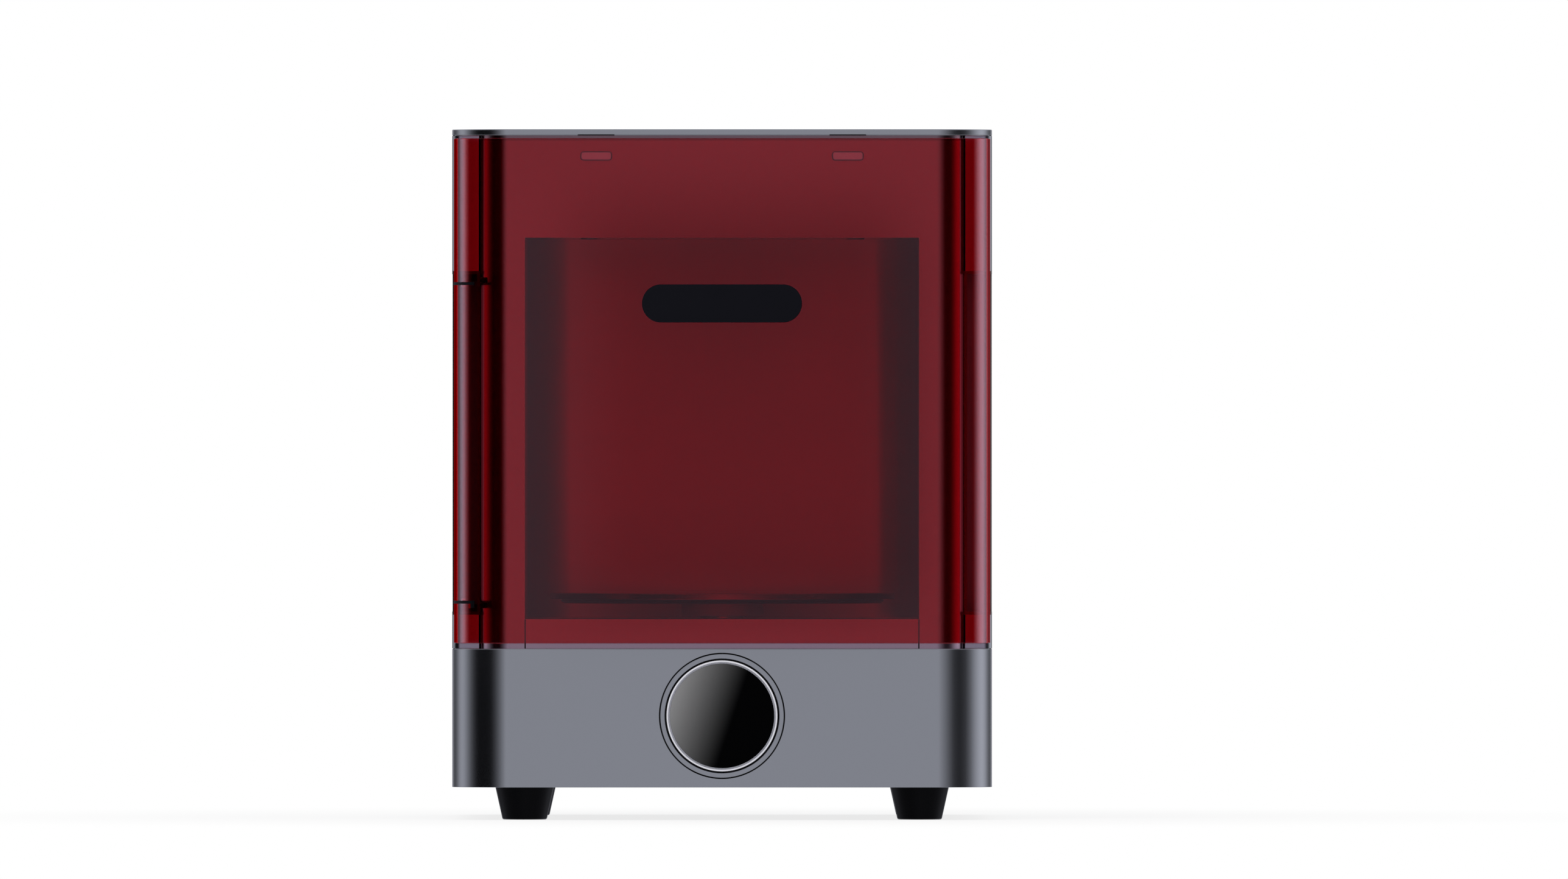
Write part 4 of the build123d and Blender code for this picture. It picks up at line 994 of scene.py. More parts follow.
LINER_METAL = BrushedMetal("liner_satin_aluminium", "chamber_metal", (0.56, 0.57, 0.61), 0.34, Lay.ALONG_X)
STEEL = BrushedMetal("ground_steel", "steel", (0.55, 0.55, 0.57), 0.25, Lay.ALONG_Z)
ZINC = BrushedMetal("zinc_plated_sheet", "supply_metal", (0.56, 0.58, 0.6), 0.38, Lay.ALONG_X)
SINK = BrushedMetal("extruded_aluminium", "sink_aluminium", (0.62, 0.63, 0.65), 0.36, Lay.ALONG_Y)
BRASS = BrushedMetal("plain_brass", "brass_contact", (0.68, 0.5, 0.2), 0.24, Lay.ALONG_Y)
PLATE_METAL = TurnedMetal(
    "turntable_turned_aluminium", "chamber_metal", (0.3, 0.3, 0.33), TURN_AXIS, HORIZONTAL
)
HUB_METAL = TurnedMetal("hub_matt_aluminium", "steel", (0.8, 0.8, 0.82), TURN_AXIS, HORIZONTAL, 0.4, 0.3)
RING_METAL = TurnedMetal(
    "ring_turned_aluminium",
    "ring_metal",
    (0.93, 0.93, 0.98),
    (0.0, 0.0, UNIT.knob_z * METRE),
    UPRIGHT,
    roughness=0.3,
    metallic=0.3,
)
BLACK_PLASTIC = MouldedPlastic("black_moulded_plastic", "black_plastic", (0.012, 0.012, 0.013), specular=0.3)
# Painted shade: the two side pockets take dark greys that stand in for the shade in the recesses, darker on
# the hinge side than on the grip side.
HINGE_POCKET_SHADE = MouldedPlastic(
    "hinge_pocket_painted_shade", "black_plastic", (0.022, 0.022, 0.023), specular=0.3
)
GRIP_POCKET_SHADE = MouldedPlastic("grip_pocket_painted_shade", "black_plastic", (0.13, 0.13, 0.135), specular=0.3)
MARK_WHITE = MouldedPlastic("white_mark_ink", "black_plastic", (0.8, 0.8, 0.78), 0.5, texture_depth=0.005)
RUBBER = MouldedPlastic(
    "black_foot_rubber",
    "black_rubber",
    (0.0012, 0.0012, 0.0016),
    roughness=0.3,
    texture_depth=0.01,
    specular=0.1,
)
PLATE_BLACK = MouldedPlastic(
    "name_plate_satin_black",
    "name_plate_black",
    (0.005, 0.005, 0.008),
    roughness=0.34,
    texture_size=0.2,
    texture_depth=0.004,
    specular=0.08,
)
ACRYLIC = TintedAcrylic("red_tinted_acrylic", "red_acrylic")
BOARD = CircuitBoard("green_circuit_board", "board_green")
FROSTED = FrostedSheet("frosted_diffuser_sheet", "frosted_diffuser")

KEPT_FINISHES: tuple[Finish, ...] = (
    CASE_GREY, FRAME_GREY_PAINTED_SHADE, ACRYLIC, RUBBER, BLACK_PLASTIC, LINER_METAL, ARM_METAL, RING_METAL,
    PLATE_BLACK, BOARD, ZINC, STEEL, BRASS, SINK, FROSTED,
)


# ------------------------------------------------------------------ base
@dataclass
class Base(Assembly):
    """Base casing with its feet, their screws and the rear opening of the power entry."""

    wall: float = 2.5
    deck: float = 2.0
    edge: float = 0.15
    through: Vec2 = (-4.0, 2.0)  # heights between which a hole cuts a wall
    knob_hole: float = 30.95
    shaft_hole: float = 6.0
    lead_hole: float = 10.0
    lead_inset: float = 32.5
    entry_x: float = -50.0
    entry: Rounded = Rounded(47.0, 20.0, 4.0)
    pillar: float = 5.0
    pillar_hole: float = 2.0
    pillar_gap: float = 0.1
    foot_place: float = 97.0
    foot_top: float = 14.4
    foot_bottom: float = 10.85
    foot_bore: float = 4.0
    foot_bore_depth: float = 10.0
    screw_head: float = 3.5
    screw_height: float = 2.2
    screw_slot: Vec2 = (1.9, 0.4)  # half length and half width

    def build(self) -> None:
        """Makes the casing, the four feet and their screws."""
        self.casing()
        for side_name, side in SIDES:
            for end_name, end in (("front", -1), ("rear", 1)):
                self.foot(f"foot_{end_name}_{side_name}", side * self.foot_place, end * self.foot_place)

    def casing(self) -> None:
        """Shell open below: down the inner wall, round the rim, up the outer wall, over the deck."""
        low, high, half = UNIT.base_z, UNIT.deck_z, UNIT.half
        under = high - self.deck
        depth, rise = UNIT.groove
        profile = soften(
            (
                (self.wall + UNIT.cap_inset, under),
                (self.wall, under),
                (self.wall, low),
                (0.0, low),
                (0.0, high - rise),
                (depth, high - rise),
                (depth, high),
                (UNIT.cap_inset, high),
            ),
            (0.0, 0.5, 0.2, self.edge, 0.12, 0.05, 0.05, 0.0),
        )
        shape = tower(UNIT.plan(), profile, Facing.UP, ORIGIN)
        top = under - self.pillar_gap
        tube = (
            (self.pillar, low + self.deck),
            (self.pillar, top),
            (self.pillar_hole, top),
            (self.pillar_hole, low + self.deck),
        )
        for side, end in product(SIGNS, repeat=2):
            seat = (side * self.foot_place, end * self.foot_place, 0.0)
            shape = shape + lathe(tube, Facing.UP, seat, ring=True, steps=24)
        cutters = (
            prism(Disc(self.knob_hole, 128), Facing.FRONT, (0.0, -half, UNIT.knob_z), *self.through),
            prism(self.entry, Facing.REAR, (self.entry_x, half, UNIT.entry_z), *self.through),
            prism(Disc(self.shaft_hole, 48), Facing.UP, (0.0, UNIT.turn_y, high), -3.0, 1.0),
            prism(Disc(self.lead_hole, 48), Facing.UP, (0.0, half - self.lead_inset, high), -3.0, 1.0),
        )
        self.add("base_casing", shape, CASE_GREY, "base_housing", (cutters,))

    def foot(self, name: str, x: float, y: float) -> None:
        """Tapered rubber foot with a bore for its screw, and the slotted screw in it.

        Args:
            name: The CAD node that it stands for.
            x: Its middle, to the right.
            y: Its middle, to the back.
        """
        top = self.foot_bore_depth
        profile = soften(
            (
                (self.foot_bottom, 0.0),
                (self.foot_top, UNIT.base_z),
                (self.pillar_hole, UNIT.base_z),
                (self.pillar_hole, top),
                (self.foot_bore, top),
                (self.foot_bore, 0.0),
            ),
            (0.9, 0.4, 0.0, 0.0, 0.0, 0.4),
            closed=True,
        )
        self.add(name + "_rubber", lathe(profile, Facing.UP, (x, y, 0.0), ring=True), RUBBER, name)
        low, tip = top - self.screw_height, 0.3
        corners = ((tip, low), (self.screw_head, low), (self.screw_head, top), (tip, top))
        head = soften(corners, (0.0, 0.8, 0.0, 0.0))
        length, width = self.screw_slot
        slot = block((x - length, y - width, top - 3.0), (x + length, y + width, top - 1.0))
        self.add(name + "_screw", lathe(head, Facing.UP, (x, y, 0.0), steps=32), STEEL, cuts=((slot,),))


# ------------------------------------------------------------------ knob
@dataclass
class Knob(Assembly):
    """Round press-and-turn knob: bezel, turning ring and glass. Depths are measured to the front."""

    bezel_outer: float = 30.35
    bezel_bore: float = 28.1
    bezel_depth: float = 5.5
    flange: Rounded = Rounded(43.0, 27.0, 6.0)
    flange_front: float = 127.0
    flange_thickness: float = 2.95
    ring_outer: float = 27.2
    ring_mouth: float = 26.4
    ring_bore: float = 24.03
    ring_front: float = 134.0
    ring_step: float = 131.3
    ring_back: float = 118.0
    glass_radius: float = 25.6
    glass_front: float = 133.6
    glass_thickness: float = 2.0

    def build(self) -> None:
        """Makes the bezel, its flange, the ring and the glass."""
        seat = (0.0, 0.0, UNIT.knob_z)
        outer, bore, front = self.bezel_outer, self.bezel_bore, UNIT.half
        back = front - self.bezel_depth
        bezel = soften(
            ((outer, back), (outer, front), (bore, front), (bore, back)), (0.0, 0.2, 0.2, 0.0), closed=True
        )
        bezel_shape = lathe(bezel, Facing.FRONT, seat, ring=True, steps=192)
        self.add("knob_bezel_ring", bezel_shape, CASE_GREY, "knob_bezel")
        seat_y = (0.0, -self.flange_front, UNIT.knob_z)
        flange = prism(self.flange, Facing.FRONT, seat_y, 0.0, self.flange_thickness)
        hole = prism(Disc(bore), Facing.FRONT, seat_y, -1.0, self.flange_thickness + 1.0)
        self.add("knob_bezel_flange", flange, BLACK_PLASTIC, cuts=((hole,),))
        ring = soften(
            (
                (self.ring_outer, self.ring_back),
                (self.ring_outer, self.ring_front),
                (self.ring_mouth, self.ring_front),
                (self.ring_mouth, self.ring_step),
                (self.ring_bore, self.ring_step),
                (self.ring_bore, self.ring_back),
            ),
            (0.3, 0.2, 0.15, 0.0, 0.0, 0.2),
            closed=True,
        )
        ring_shape = lathe(ring, Facing.FRONT, seat, ring=True, steps=192)
        self.add("knob_turning_ring", ring_shape, RING_METAL, "knob_ring", body=Body.KNOB_RIM)
        radius, face, inner = self.glass_radius, self.glass_front, 2.0
        back = face - self.glass_thickness
        glass = soften(((inner, back), (radius, back), (radius, face), (inner, face)), (0.0, 0.2, 0.4, 0.0))
        centre = (0.0, -face * METRE, UNIT.knob_z * METRE)
        finish = DisplayGlass("knob_display_glass", "black_glass", centre, radius)
        shape = lathe(glass, Facing.FRONT, seat, steps=192)
        self.add("knob_display_window", shape, finish, "knob_glass", body=Body.KNOB)


# ------------------------------------------------------------------ cabinet
@dataclass
class Cabinet(Assembly):
    """Folded outer shell with its vents and side recesses, and the lid."""

    panel_y: float = -110.0
    wall: float = 2.0
    fold: float = 4.0
    flange_end: float = 119.3
    through: Vec2 = (-4.0, 2.0)  # heights between which a hole cuts a wall
    recess_z: Vec2 = (100.6, 269.3)
    recess_back_y: float = -86.5
    fan_hole: float = 28.0
    vent: Rounded = Rounded(1.5, 17.0, 1.5, 6)
    vent_rows: Vec2 = (132.0, 176.0)
    vent_count: int = 13
    vent_pitch: float = 8.0
    lid_edge: float = 0.4
    lid_slot: Vec3 = (9.0, 8.0, 0.5)  # half width, reach from the front, depth
    insert_gap: Vec3 = (0.1, 0.9, 0.02)  # beside and behind, in front, below and above
    frame_y: float = -126.0
    joint_x: float = 96.55
    joint_half: float = 0.3
    joint_gap: float = 0.1
    joint_y: Vec2 = (-0.08, 2.0)  # behind the frame's face
    sill_top: float = 98.5
    stop_x: float = -116.9
    stop_z: Vec2 = (105.4, 264.6)
    stop_depth: Vec2 = (112.0, 121.6)
    stop_radius: float = 1.6

    def build(self) -> None:
        """Makes the shell and the lid, and smooths the recesses and the frame behind the door."""
        self.shell()
        self.lid()
        self.joints()
        self.skins(HINGE_POCKET_SHADE, "hinge_pocket")
        self.skins(GRIP_POCKET_SHADE, "grip_pocket")
        self.skins(FRAME_GREY_PAINTED_SHADE, "front_frame", "sill_plate")

    def shell(self) -> None:
        """One sheet folded round the back, with a return flange at each front edge."""
        half, end, front = UNIT.half, self.flange_end, self.panel_y
        low, high = UNIT.deck_z, UNIT.lid_z
        corners = ((end, front), (half, front), (half, half), (-half, half), (-half, front), (-end, front))
        course = Fold(corners, (0.0, self.fold, UNIT.corner, UNIT.corner, self.fold, 0.0))
        section = soften(((0.0, low), (0.0, high), (self.wall, high), (self.wall, low)), 0.15, 2, closed=True)
        foot, head = self.recess_z
        cutters = [
            block((end - 1.0, front - 1.0, foot), (half + 1.0, self.recess_back_y, head)),
            block((-half - 1.0, front - 1.0, foot), (1.0 - end, self.recess_back_y, head)),
            prism(Disc(self.fan_hole), Facing.REAR, (0.0, half, UNIT.fan_z), *self.through),
        ]
        places = (np.arange(self.vent_count) - (self.vent_count - 1) / 2) * self.vent_pitch
        for row, x in product(self.vent_rows, places):
            cutters.append(prism(self.vent, Facing.REAR, (x, half, row), *self.through))
        self.add("outer_shell_sheet", band(course, section), SHELL_GREY_PAINTED_SHADE, "outer_shell", (cutters,))

    def lid(self) -> None:
        """Flat lid with a broken upper edge and two shallow slots above the catches."""
        depth, rise = UNIT.groove
        low, high, front = UNIT.lid_z, UNIT.top_z, -UNIT.half
        profile = soften(
            (
                (UNIT.cap_inset, low),
                (depth, low),
                (depth, low + rise),
                (0.0, low + rise),
                (0.0, high),
                (UNIT.cap_inset, high),
            ),
            (0.0, 0.05, 0.05, 0.12, self.lid_edge, 0.0),
        )
        width, reach, sunk = self.lid_slot
        places = [(name, side * UNIT.magnet_x) for name, side in SIDES]
        cutters = [
            block((x - width, front - 1.0, low - 1.0), (x + width, front + reach, low + sunk))
            for _, x in places
        ]
        self.add("lid_panel", tower(UNIT.plan(), profile, Facing.UP, ORIGIN), CASE_GREY, "lid", (cutters,))
        beside, before, over = self.insert_gap
        for name, x in places:
            insert = block(
                (x - width + beside, front + before, low + over),
                (x + width - beside, front + reach - beside, low + sunk - over),
            )
            self.add(f"lid_slot_insert_{name}", insert, BLACK_PLASTIC)

    def joints(self) -> None:
        """Thin black seals in the joints at the two ends of the sill, and a stop beside each hinge."""
        near, far = (self.frame_y + depth for depth in self.joint_y)
        for name, side in SIDES:
            x = side * self.joint_x
            low = (x - self.joint_half, near, UNIT.deck_z + self.joint_gap)
            seal = block(low, (x + self.joint_half, far, self.sill_top - self.joint_gap))
            self.add(f"sill_seal_{name}", seal, RUBBER)
        back, front = self.stop_depth
        radius, tip = self.stop_radius, 0.2
        profile = soften(((tip, back), (radius, back), (radius, front), (tip, front)), (0.0, 0.0, 0.6, 0.0))
        for name, height in zip(("lower", "upper"), self.stop_z):
            stop = lathe(profile, Facing.FRONT, (self.stop_x, 0.0, height), steps=32)
            self.add(f"hinge_stop_{name}", stop, RUBBER)


# ------------------------------------------------------------------ chamber
@dataclass
class Chamber(Assembly):
    """Curing chamber: liner, floor, ceiling and the turntable."""

    shaft: float = 4.0
    plate_radius: float = 85.0
    plate_z: Vec2 = (108.0, 111.0)
    grooves: tuple[float, ...] = (70.0, 50.0, 30.0)
    groove_half: float = 0.6
    groove_depth: float = 0.6
    shade_ring_bore: float = 20.2
    shade_ring_radii: Vec2 = (78.0, 81.0)
    shade_ring_z: Vec2 = (105.9, 107.9)

    def build(self) -> None:
        """Smooths the liner, floor and ceiling, and turns the plate."""
        self.skins(LINER_METAL, "chamber_liner", "chamber_floor")
        self.skins(FRAME_GREY_PAINTED_SHADE, "ceiling_plate")
        self.skins(HUB_METAL, "turntable_hub")
        self.skins(BRASS, "turntable_bush")
        self.skins(FROSTED, "diffuser")
        self.plate()

    def plate(self) -> None:
        """Disc whose profile runs down into each groove and out of it, on a black rubber ring below it that
        paints the dark line of shade in the gap under the plate.
        """
        low, high = self.plate_z
        sunk = high - self.groove_depth
        corners: list[Vec2] = [(self.shaft, low), (self.plate_radius, low), (self.plate_radius, high)]
        for radius in self.grooves:
            outer, inner = radius + self.groove_half, radius - self.groove_half
            corners += [(outer, high), (outer, sunk), (inner, sunk), (inner, high)]
        radii = [0.0, 0.3, 0.5] + [0.15] * 4 * len(self.grooves) + [0.0]
        seat = (0.0, UNIT.turn_y, 0.0)
        disc = lathe(soften(corners + [(self.shaft, high)], radii, 3), Facing.UP, seat, steps=160)
        self.add("turntable_disc", disc, PLATE_METAL, "turntable_plate", body=Body.TURNTABLE)
        # Painted shade: a black ring under the plate gives the dark line where the gap below it lies in
        # shade.
        (foot, head), (small, large) = self.shade_ring_z, self.shade_ring_radii
        shade_ring = ((self.shade_ring_bore, foot), (small, foot), (large, head), (self.shade_ring_bore, head))
        profile = soften(shade_ring, (0.0, 0.6, 0.6, 0.0), 3, closed=True)
        ring = lathe(profile, Facing.UP, seat, ring=True, steps=160)
        self.add("turntable_shade_ring", ring, RUBBER, body=Body.TURNTABLE)


# ------------------------------------------------------------------ fan and power entry
@dataclass
class Rear(Assembly):
    """Fan with its wire guard and screws, and the power entry with its switch."""

    rings: tuple[float, ...] = (28.0, 21.0, 14.0, 7.0)
    wire: float = 0.75
    spoke: float = 0.675
    spoke_end: float = 23.2
    tab: float = 25.0
    eye: float = 2.75
    fan_screw: Vec2 = (2.6, 0.6)  # radius of the head and its rise over the seat
    inlet: Vec3 = (-68.0, 128.0, 50.0)
    inlet_reach: float = 18.5
    inlet_screw: Vec2 = (2.4, 0.15)
    pivot: Vec3 = (-22.0, 126.5, 50.0)
    tilt: float = 8.0
    rocker_face: Vec2 = (1.8, 3.2)  # its rise over the pivot at the middle and at the ends
    rocker_half: float = 8.4
    mark_place: float = 4.6
    mark_rise: Vec2 = (-0.1, 0.06)
    mark_bar: Rounded = Rounded(0.35, 1.5, 0.1, 3)
    mark_ring: Vec2 = (1.6, 1.05)

    def build(self) -> None:
        """Makes the guard, the screws and the marks, and smooths the moulded pieces."""
        self.skins(
            BLACK_PLASTIC, "fan_frame", "fan_rotor", "power_tray", "power_inlet", "rocker_frame", "rocker"
        )
        self.guard()
        self.screws()
        self.marks()

    def guard(self) -> None:
        """Four wire rings on two crossed wires, with an eye at each corner."""
        middle, end, height = UNIT.half + self.wire, self.spoke_end, UNIT.fan_z
        parts = [torus(radius, self.wire, Facing.REAR, (0.0, middle, height)) for radius in self.rings]
        for side in SIGNS:
            reach = side * end
            parts.append(rod((-end, middle, height - reach), (end, middle, height + reach), self.spoke))
        for side, rise in product(SIGNS, repeat=2):
            seat = (side * self.tab, middle, height + rise * self.tab)
            parts.append(torus(self.eye, self.wire, Facing.REAR, seat))
        self.add("fan_guard_wires", sum(parts[1:], parts[0]), STEEL, "fan_guard")

    def screw(self, name: str, seat: Vec3, head: float, rise: float) -> None:
        """Countersunk screw head with a cross recess, facing the rear.

        Args:
            name: The piece's name.
            seat: Where it sits.
            head: Radius of its head.
            rise: How far the head stands over its seat.
        """
        low, tip = -1.6, 0.2
        profile = ((tip, low), (head * 0.5, low), (head, rise - 0.25), (head * 0.94, rise), (tip, rise))
        x, y, z = seat
        wide, thin, top = head * 0.55, head * 0.13, y + rise
        bars = [
            (block((x - half_x, top - 0.7, z - half_z), (x + half_x, top + 1.0, z + half_z)),)
            for half_x, half_z in ((wide, thin), (thin, wide))
        ]
        self.add(name, lathe(profile, Facing.REAR, seat, steps=32), STEEL, cuts=bars)

    def screws(self) -> None:
        """Four screws of the fan and two of the inlet."""
        x, y, z = self.inlet
        for name, side in SIDES:
            for end, rise in (("lower", -1), ("upper", 1)):
                seat = (side * self.tab, UNIT.half + self.fan_screw[1], UNIT.fan_z + rise * self.tab)
                self.screw(f"fan_screw_{end}_{name}", seat, *self.fan_screw)
            self.screw(f"inlet_screw_{name}", (x + side * self.inlet_reach, y, z), *self.inlet_screw)

    def marks(self) -> None:
        """A raised bar and a ring on the two halves of the rocker, turned with it about its pivot."""
        angle = math.radians(self.tilt)
        up = np.array((0.0, -math.sin(angle), math.cos(angle)))
        out = np.array((0.0, math.cos(angle), math.sin(angle)))
        middle_rise, end_rise = self.rocker_face
        slope = math.atan2(end_rise - middle_rise, self.rocker_half)
        low, high = self.mark_rise
        outer, inner = self.mark_ring
        tube = ((outer, low), (outer, high), (inner, high), (inner, low))
        bar = prism(self.mark_bar, Facing.UP, ORIGIN, low, high)
        ring = lathe(tube, Facing.UP, ORIGIN, ring=True, steps=40)
        for name, side, flat in (("bar", 1, bar), ("ring", -1, ring)):
            face = middle_rise + self.mark_place * math.tan(slope)
            seat = np.array(self.pivot) + up * self.mark_place * side + out * face
            lean_up = up * math.cos(slope) + out * math.sin(slope) * side
            lean_out = out * math.cos(slope) - up * math.sin(slope) * side
            points = flat.points @ np.vstack([(-1.0, 0.0, 0.0), lean_up, lean_out]) + seat
            self.add(f"rocker_{name}_mark", Shape(points, flat.faces), MARK_WHITE, body=Body.SWITCH)


# ------------------------------------------------------------------ door
@dataclass(frozen=True)
class DoorCourse(Course):
    """Plan of the door: flat front and two corner arcs that end on the plane of the trailing edge."""

    trail_y: float = -112.5
    steps: int = 56

    def at(self, depth: float) -> Array:
        """Arc point = centre + (corner - depth) * (sin a, -cos a); a ends where y reaches the plane.

        Args:
            depth: How far the path lies behind the outer face.

        Returns:
            The points.
        """
        radius = UNIT.corner - depth
        centre = UNIT.half - UNIT.corner
        limit = math.acos((-centre - self.trail_y) / radius)
        angle = np.linspace(0.0, limit, self.steps)
        right = np.column_stack([centre + radius * np.sin(angle), -centre - radius * np.cos(angle)])
        return np.vstack([right[::-1] * (-1.0, 1.0), right])


@dataclass
class Door(Assembly):
    """Swinging door of red acrylic with its magnets, bare plate and hinge arms."""

    bottom_z: float = 86.7
    top_z: float = 334.3
    thickness: float = 3.0
    edge: float = 0.35
    cut_y: Vec2 = (-134.0, -111.5)  # depths between which the slots at the hinge are cut
    hinge_x: float = -126.6
    arm_half: float = 5.1
    arm_gap: float = 0.05
    upper_arm_z: Vec2 = (262.4, 263.8)
    lower_arm_z: Vec2 = (106.1, 107.5)
    lug_x: Vec2 = (-123.35, -121.45)
    lug_z: Vec2 = (-2.25, 0.5)  # over the lower arm's underside
    magnet: Rounded = Rounded(7.4, 1.85, 1.2, 8)
    magnet_z: float = 325.6
    magnet_depth: Vec2 = (126.4, 130.95)  # its back and its face, in front of the origin
    pocket_gap: float = 0.36
    pocket_depth: float = 1.5
    seal_gap: float = 0.34
    seal_wall: float = 0.3
    seal_depth: Vec2 = (129.6, 130.9)
    plate_z: float = 253.3
    plate: Rounded = Rounded(39.25, 9.35, 9.35, 32)
    plate_gap: float = 0.3
    plate_depth: Vec2 = (131.55, 132.4)
    plate_rim: float = 4.0  # where the plate's flat middle starts

    def build(self) -> None:
        """Makes the sheet, the magnets and the plate, and smooths the hinges."""
        self.sheet()
        for name, side in SIDES:
            self.bar_magnet(name, (side * UNIT.magnet_x, 0.0, self.magnet_z))
        self.name_plate()
        self.skins(ARM_METAL, "hinge_arm_upper", "hinge_arm_lower", "hinge_block_upper", "hinge_block_lower")
        self.skins(STEEL, "hinge_pin_upper", "hinge_pin_lower")

    def sheet(self) -> None:
        """Bent sheet with slots for the arms and pockets for the magnets and the plate."""
        low, high = self.bottom_z, self.top_z
        wall, half, gap = self.thickness, UNIT.half, self.arm_gap
        section = soften(((0.0, low), (0.0, high), (wall, high), (wall, low)), self.edge, 3, closed=True)
        left, right = self.hinge_x - self.arm_half - gap, self.hinge_x + self.arm_half + gap
        near, far = self.cut_y
        cutters = [
            block((left, near, foot - gap), (right, far, head + gap))
            for foot, head in (self.upper_arm_z, self.lower_arm_z)
        ]
        pocket = self.magnet.grown(self.pocket_gap, 6)
        for side in SIGNS:
            seat = (side * UNIT.magnet_x, wall - half, self.magnet_z)
            cutters.append(prism(pocket, Facing.FRONT, seat, -1.0, self.pocket_depth))
        opening = self.plate.grown(self.plate_gap, 24)
        cutters.append(prism(opening, Facing.FRONT, (0.0, -half, self.plate_z), -1.0, 1.0))
        foot, head = (self.lower_arm_z[0] + rise for rise in self.lug_z)
        lug = block((self.lug_x[0], near, foot), (self.lug_x[1], far, head))
        sheet = band(DoorCourse(), section)
        self.add("door_sheet", sheet, ACRYLIC, "door_shell", (cutters, (lug,)), Body.DOOR)

    def bar_magnet(self, name: str, seat: Vec3) -> None:
        """Flat magnet set into the back of the sheet, a hair short of its pocket, and the seal round it.

        Args:
            name: Its side.
            seat: The middle of its outline, in the plane of the origin.
        """
        back, face = self.magnet_depth
        rim, inner = 0.05, 1.0
        profile = soften(((inner, back), (rim, back), (rim, face), (inner, face)), (0.0, 0.3, 0.1, 0.0))
        bar = tower(self.magnet, profile, Facing.FRONT, seat)
        self.add(f"door_magnet_{name}_bar", bar, MAGNET_METAL, f"door_magnet_{name}", body=Body.DOOR)
        back, face = self.seal_depth
        levels = ((0.0, back), (0.0, face), (self.seal_wall, face), (self.seal_wall, back))
        seal = tower(self.magnet.grown(self.seal_gap, 8), levels, Facing.FRONT, seat, ring=True)
        self.add(f"door_magnet_{name}_seal", seal, RUBBER, body=Body.DOOR)

    def name_plate(self) -> None:
        """Bare pill-shaped plate seated in its pocket, with a broken front edge."""
        (back, face), rim = self.plate_depth, self.plate_rim
        profile = soften(((rim, back), (0.0, back), (0.0, face), (rim, face)), (0.0, 0.1, 0.25, 0.0))
        plate = tower(self.plate, profile, Facing.FRONT, (0.0, 0.0, self.plate_z))
        self.add("bare_name_plate", plate, PLATE_BLACK, "name_plate", body=Body.DOOR)


# ------------------------------------------------------------------ kept solids
@dataclass
class Kept(Assembly):
    """The CAD nodes that keep their own shape."""

    def build(self) -> None:
        """Gives each node that is still shown the finish of its slot."""
        finishes = {finish.slot: finish for finish in KEPT_FINISHES}
        for row in frame["record"]["subparts"]:
            node = frame["nodes"][row["node"]]
            if node.hide_render:
                continue
            finish = finishes.get(row["material_slot"], BLACK_PLASTIC)
            if row["node"].startswith("catch_plate"):
                finish = CATCH_METAL
            dress(node, finish)
            self.pieces.append(node)


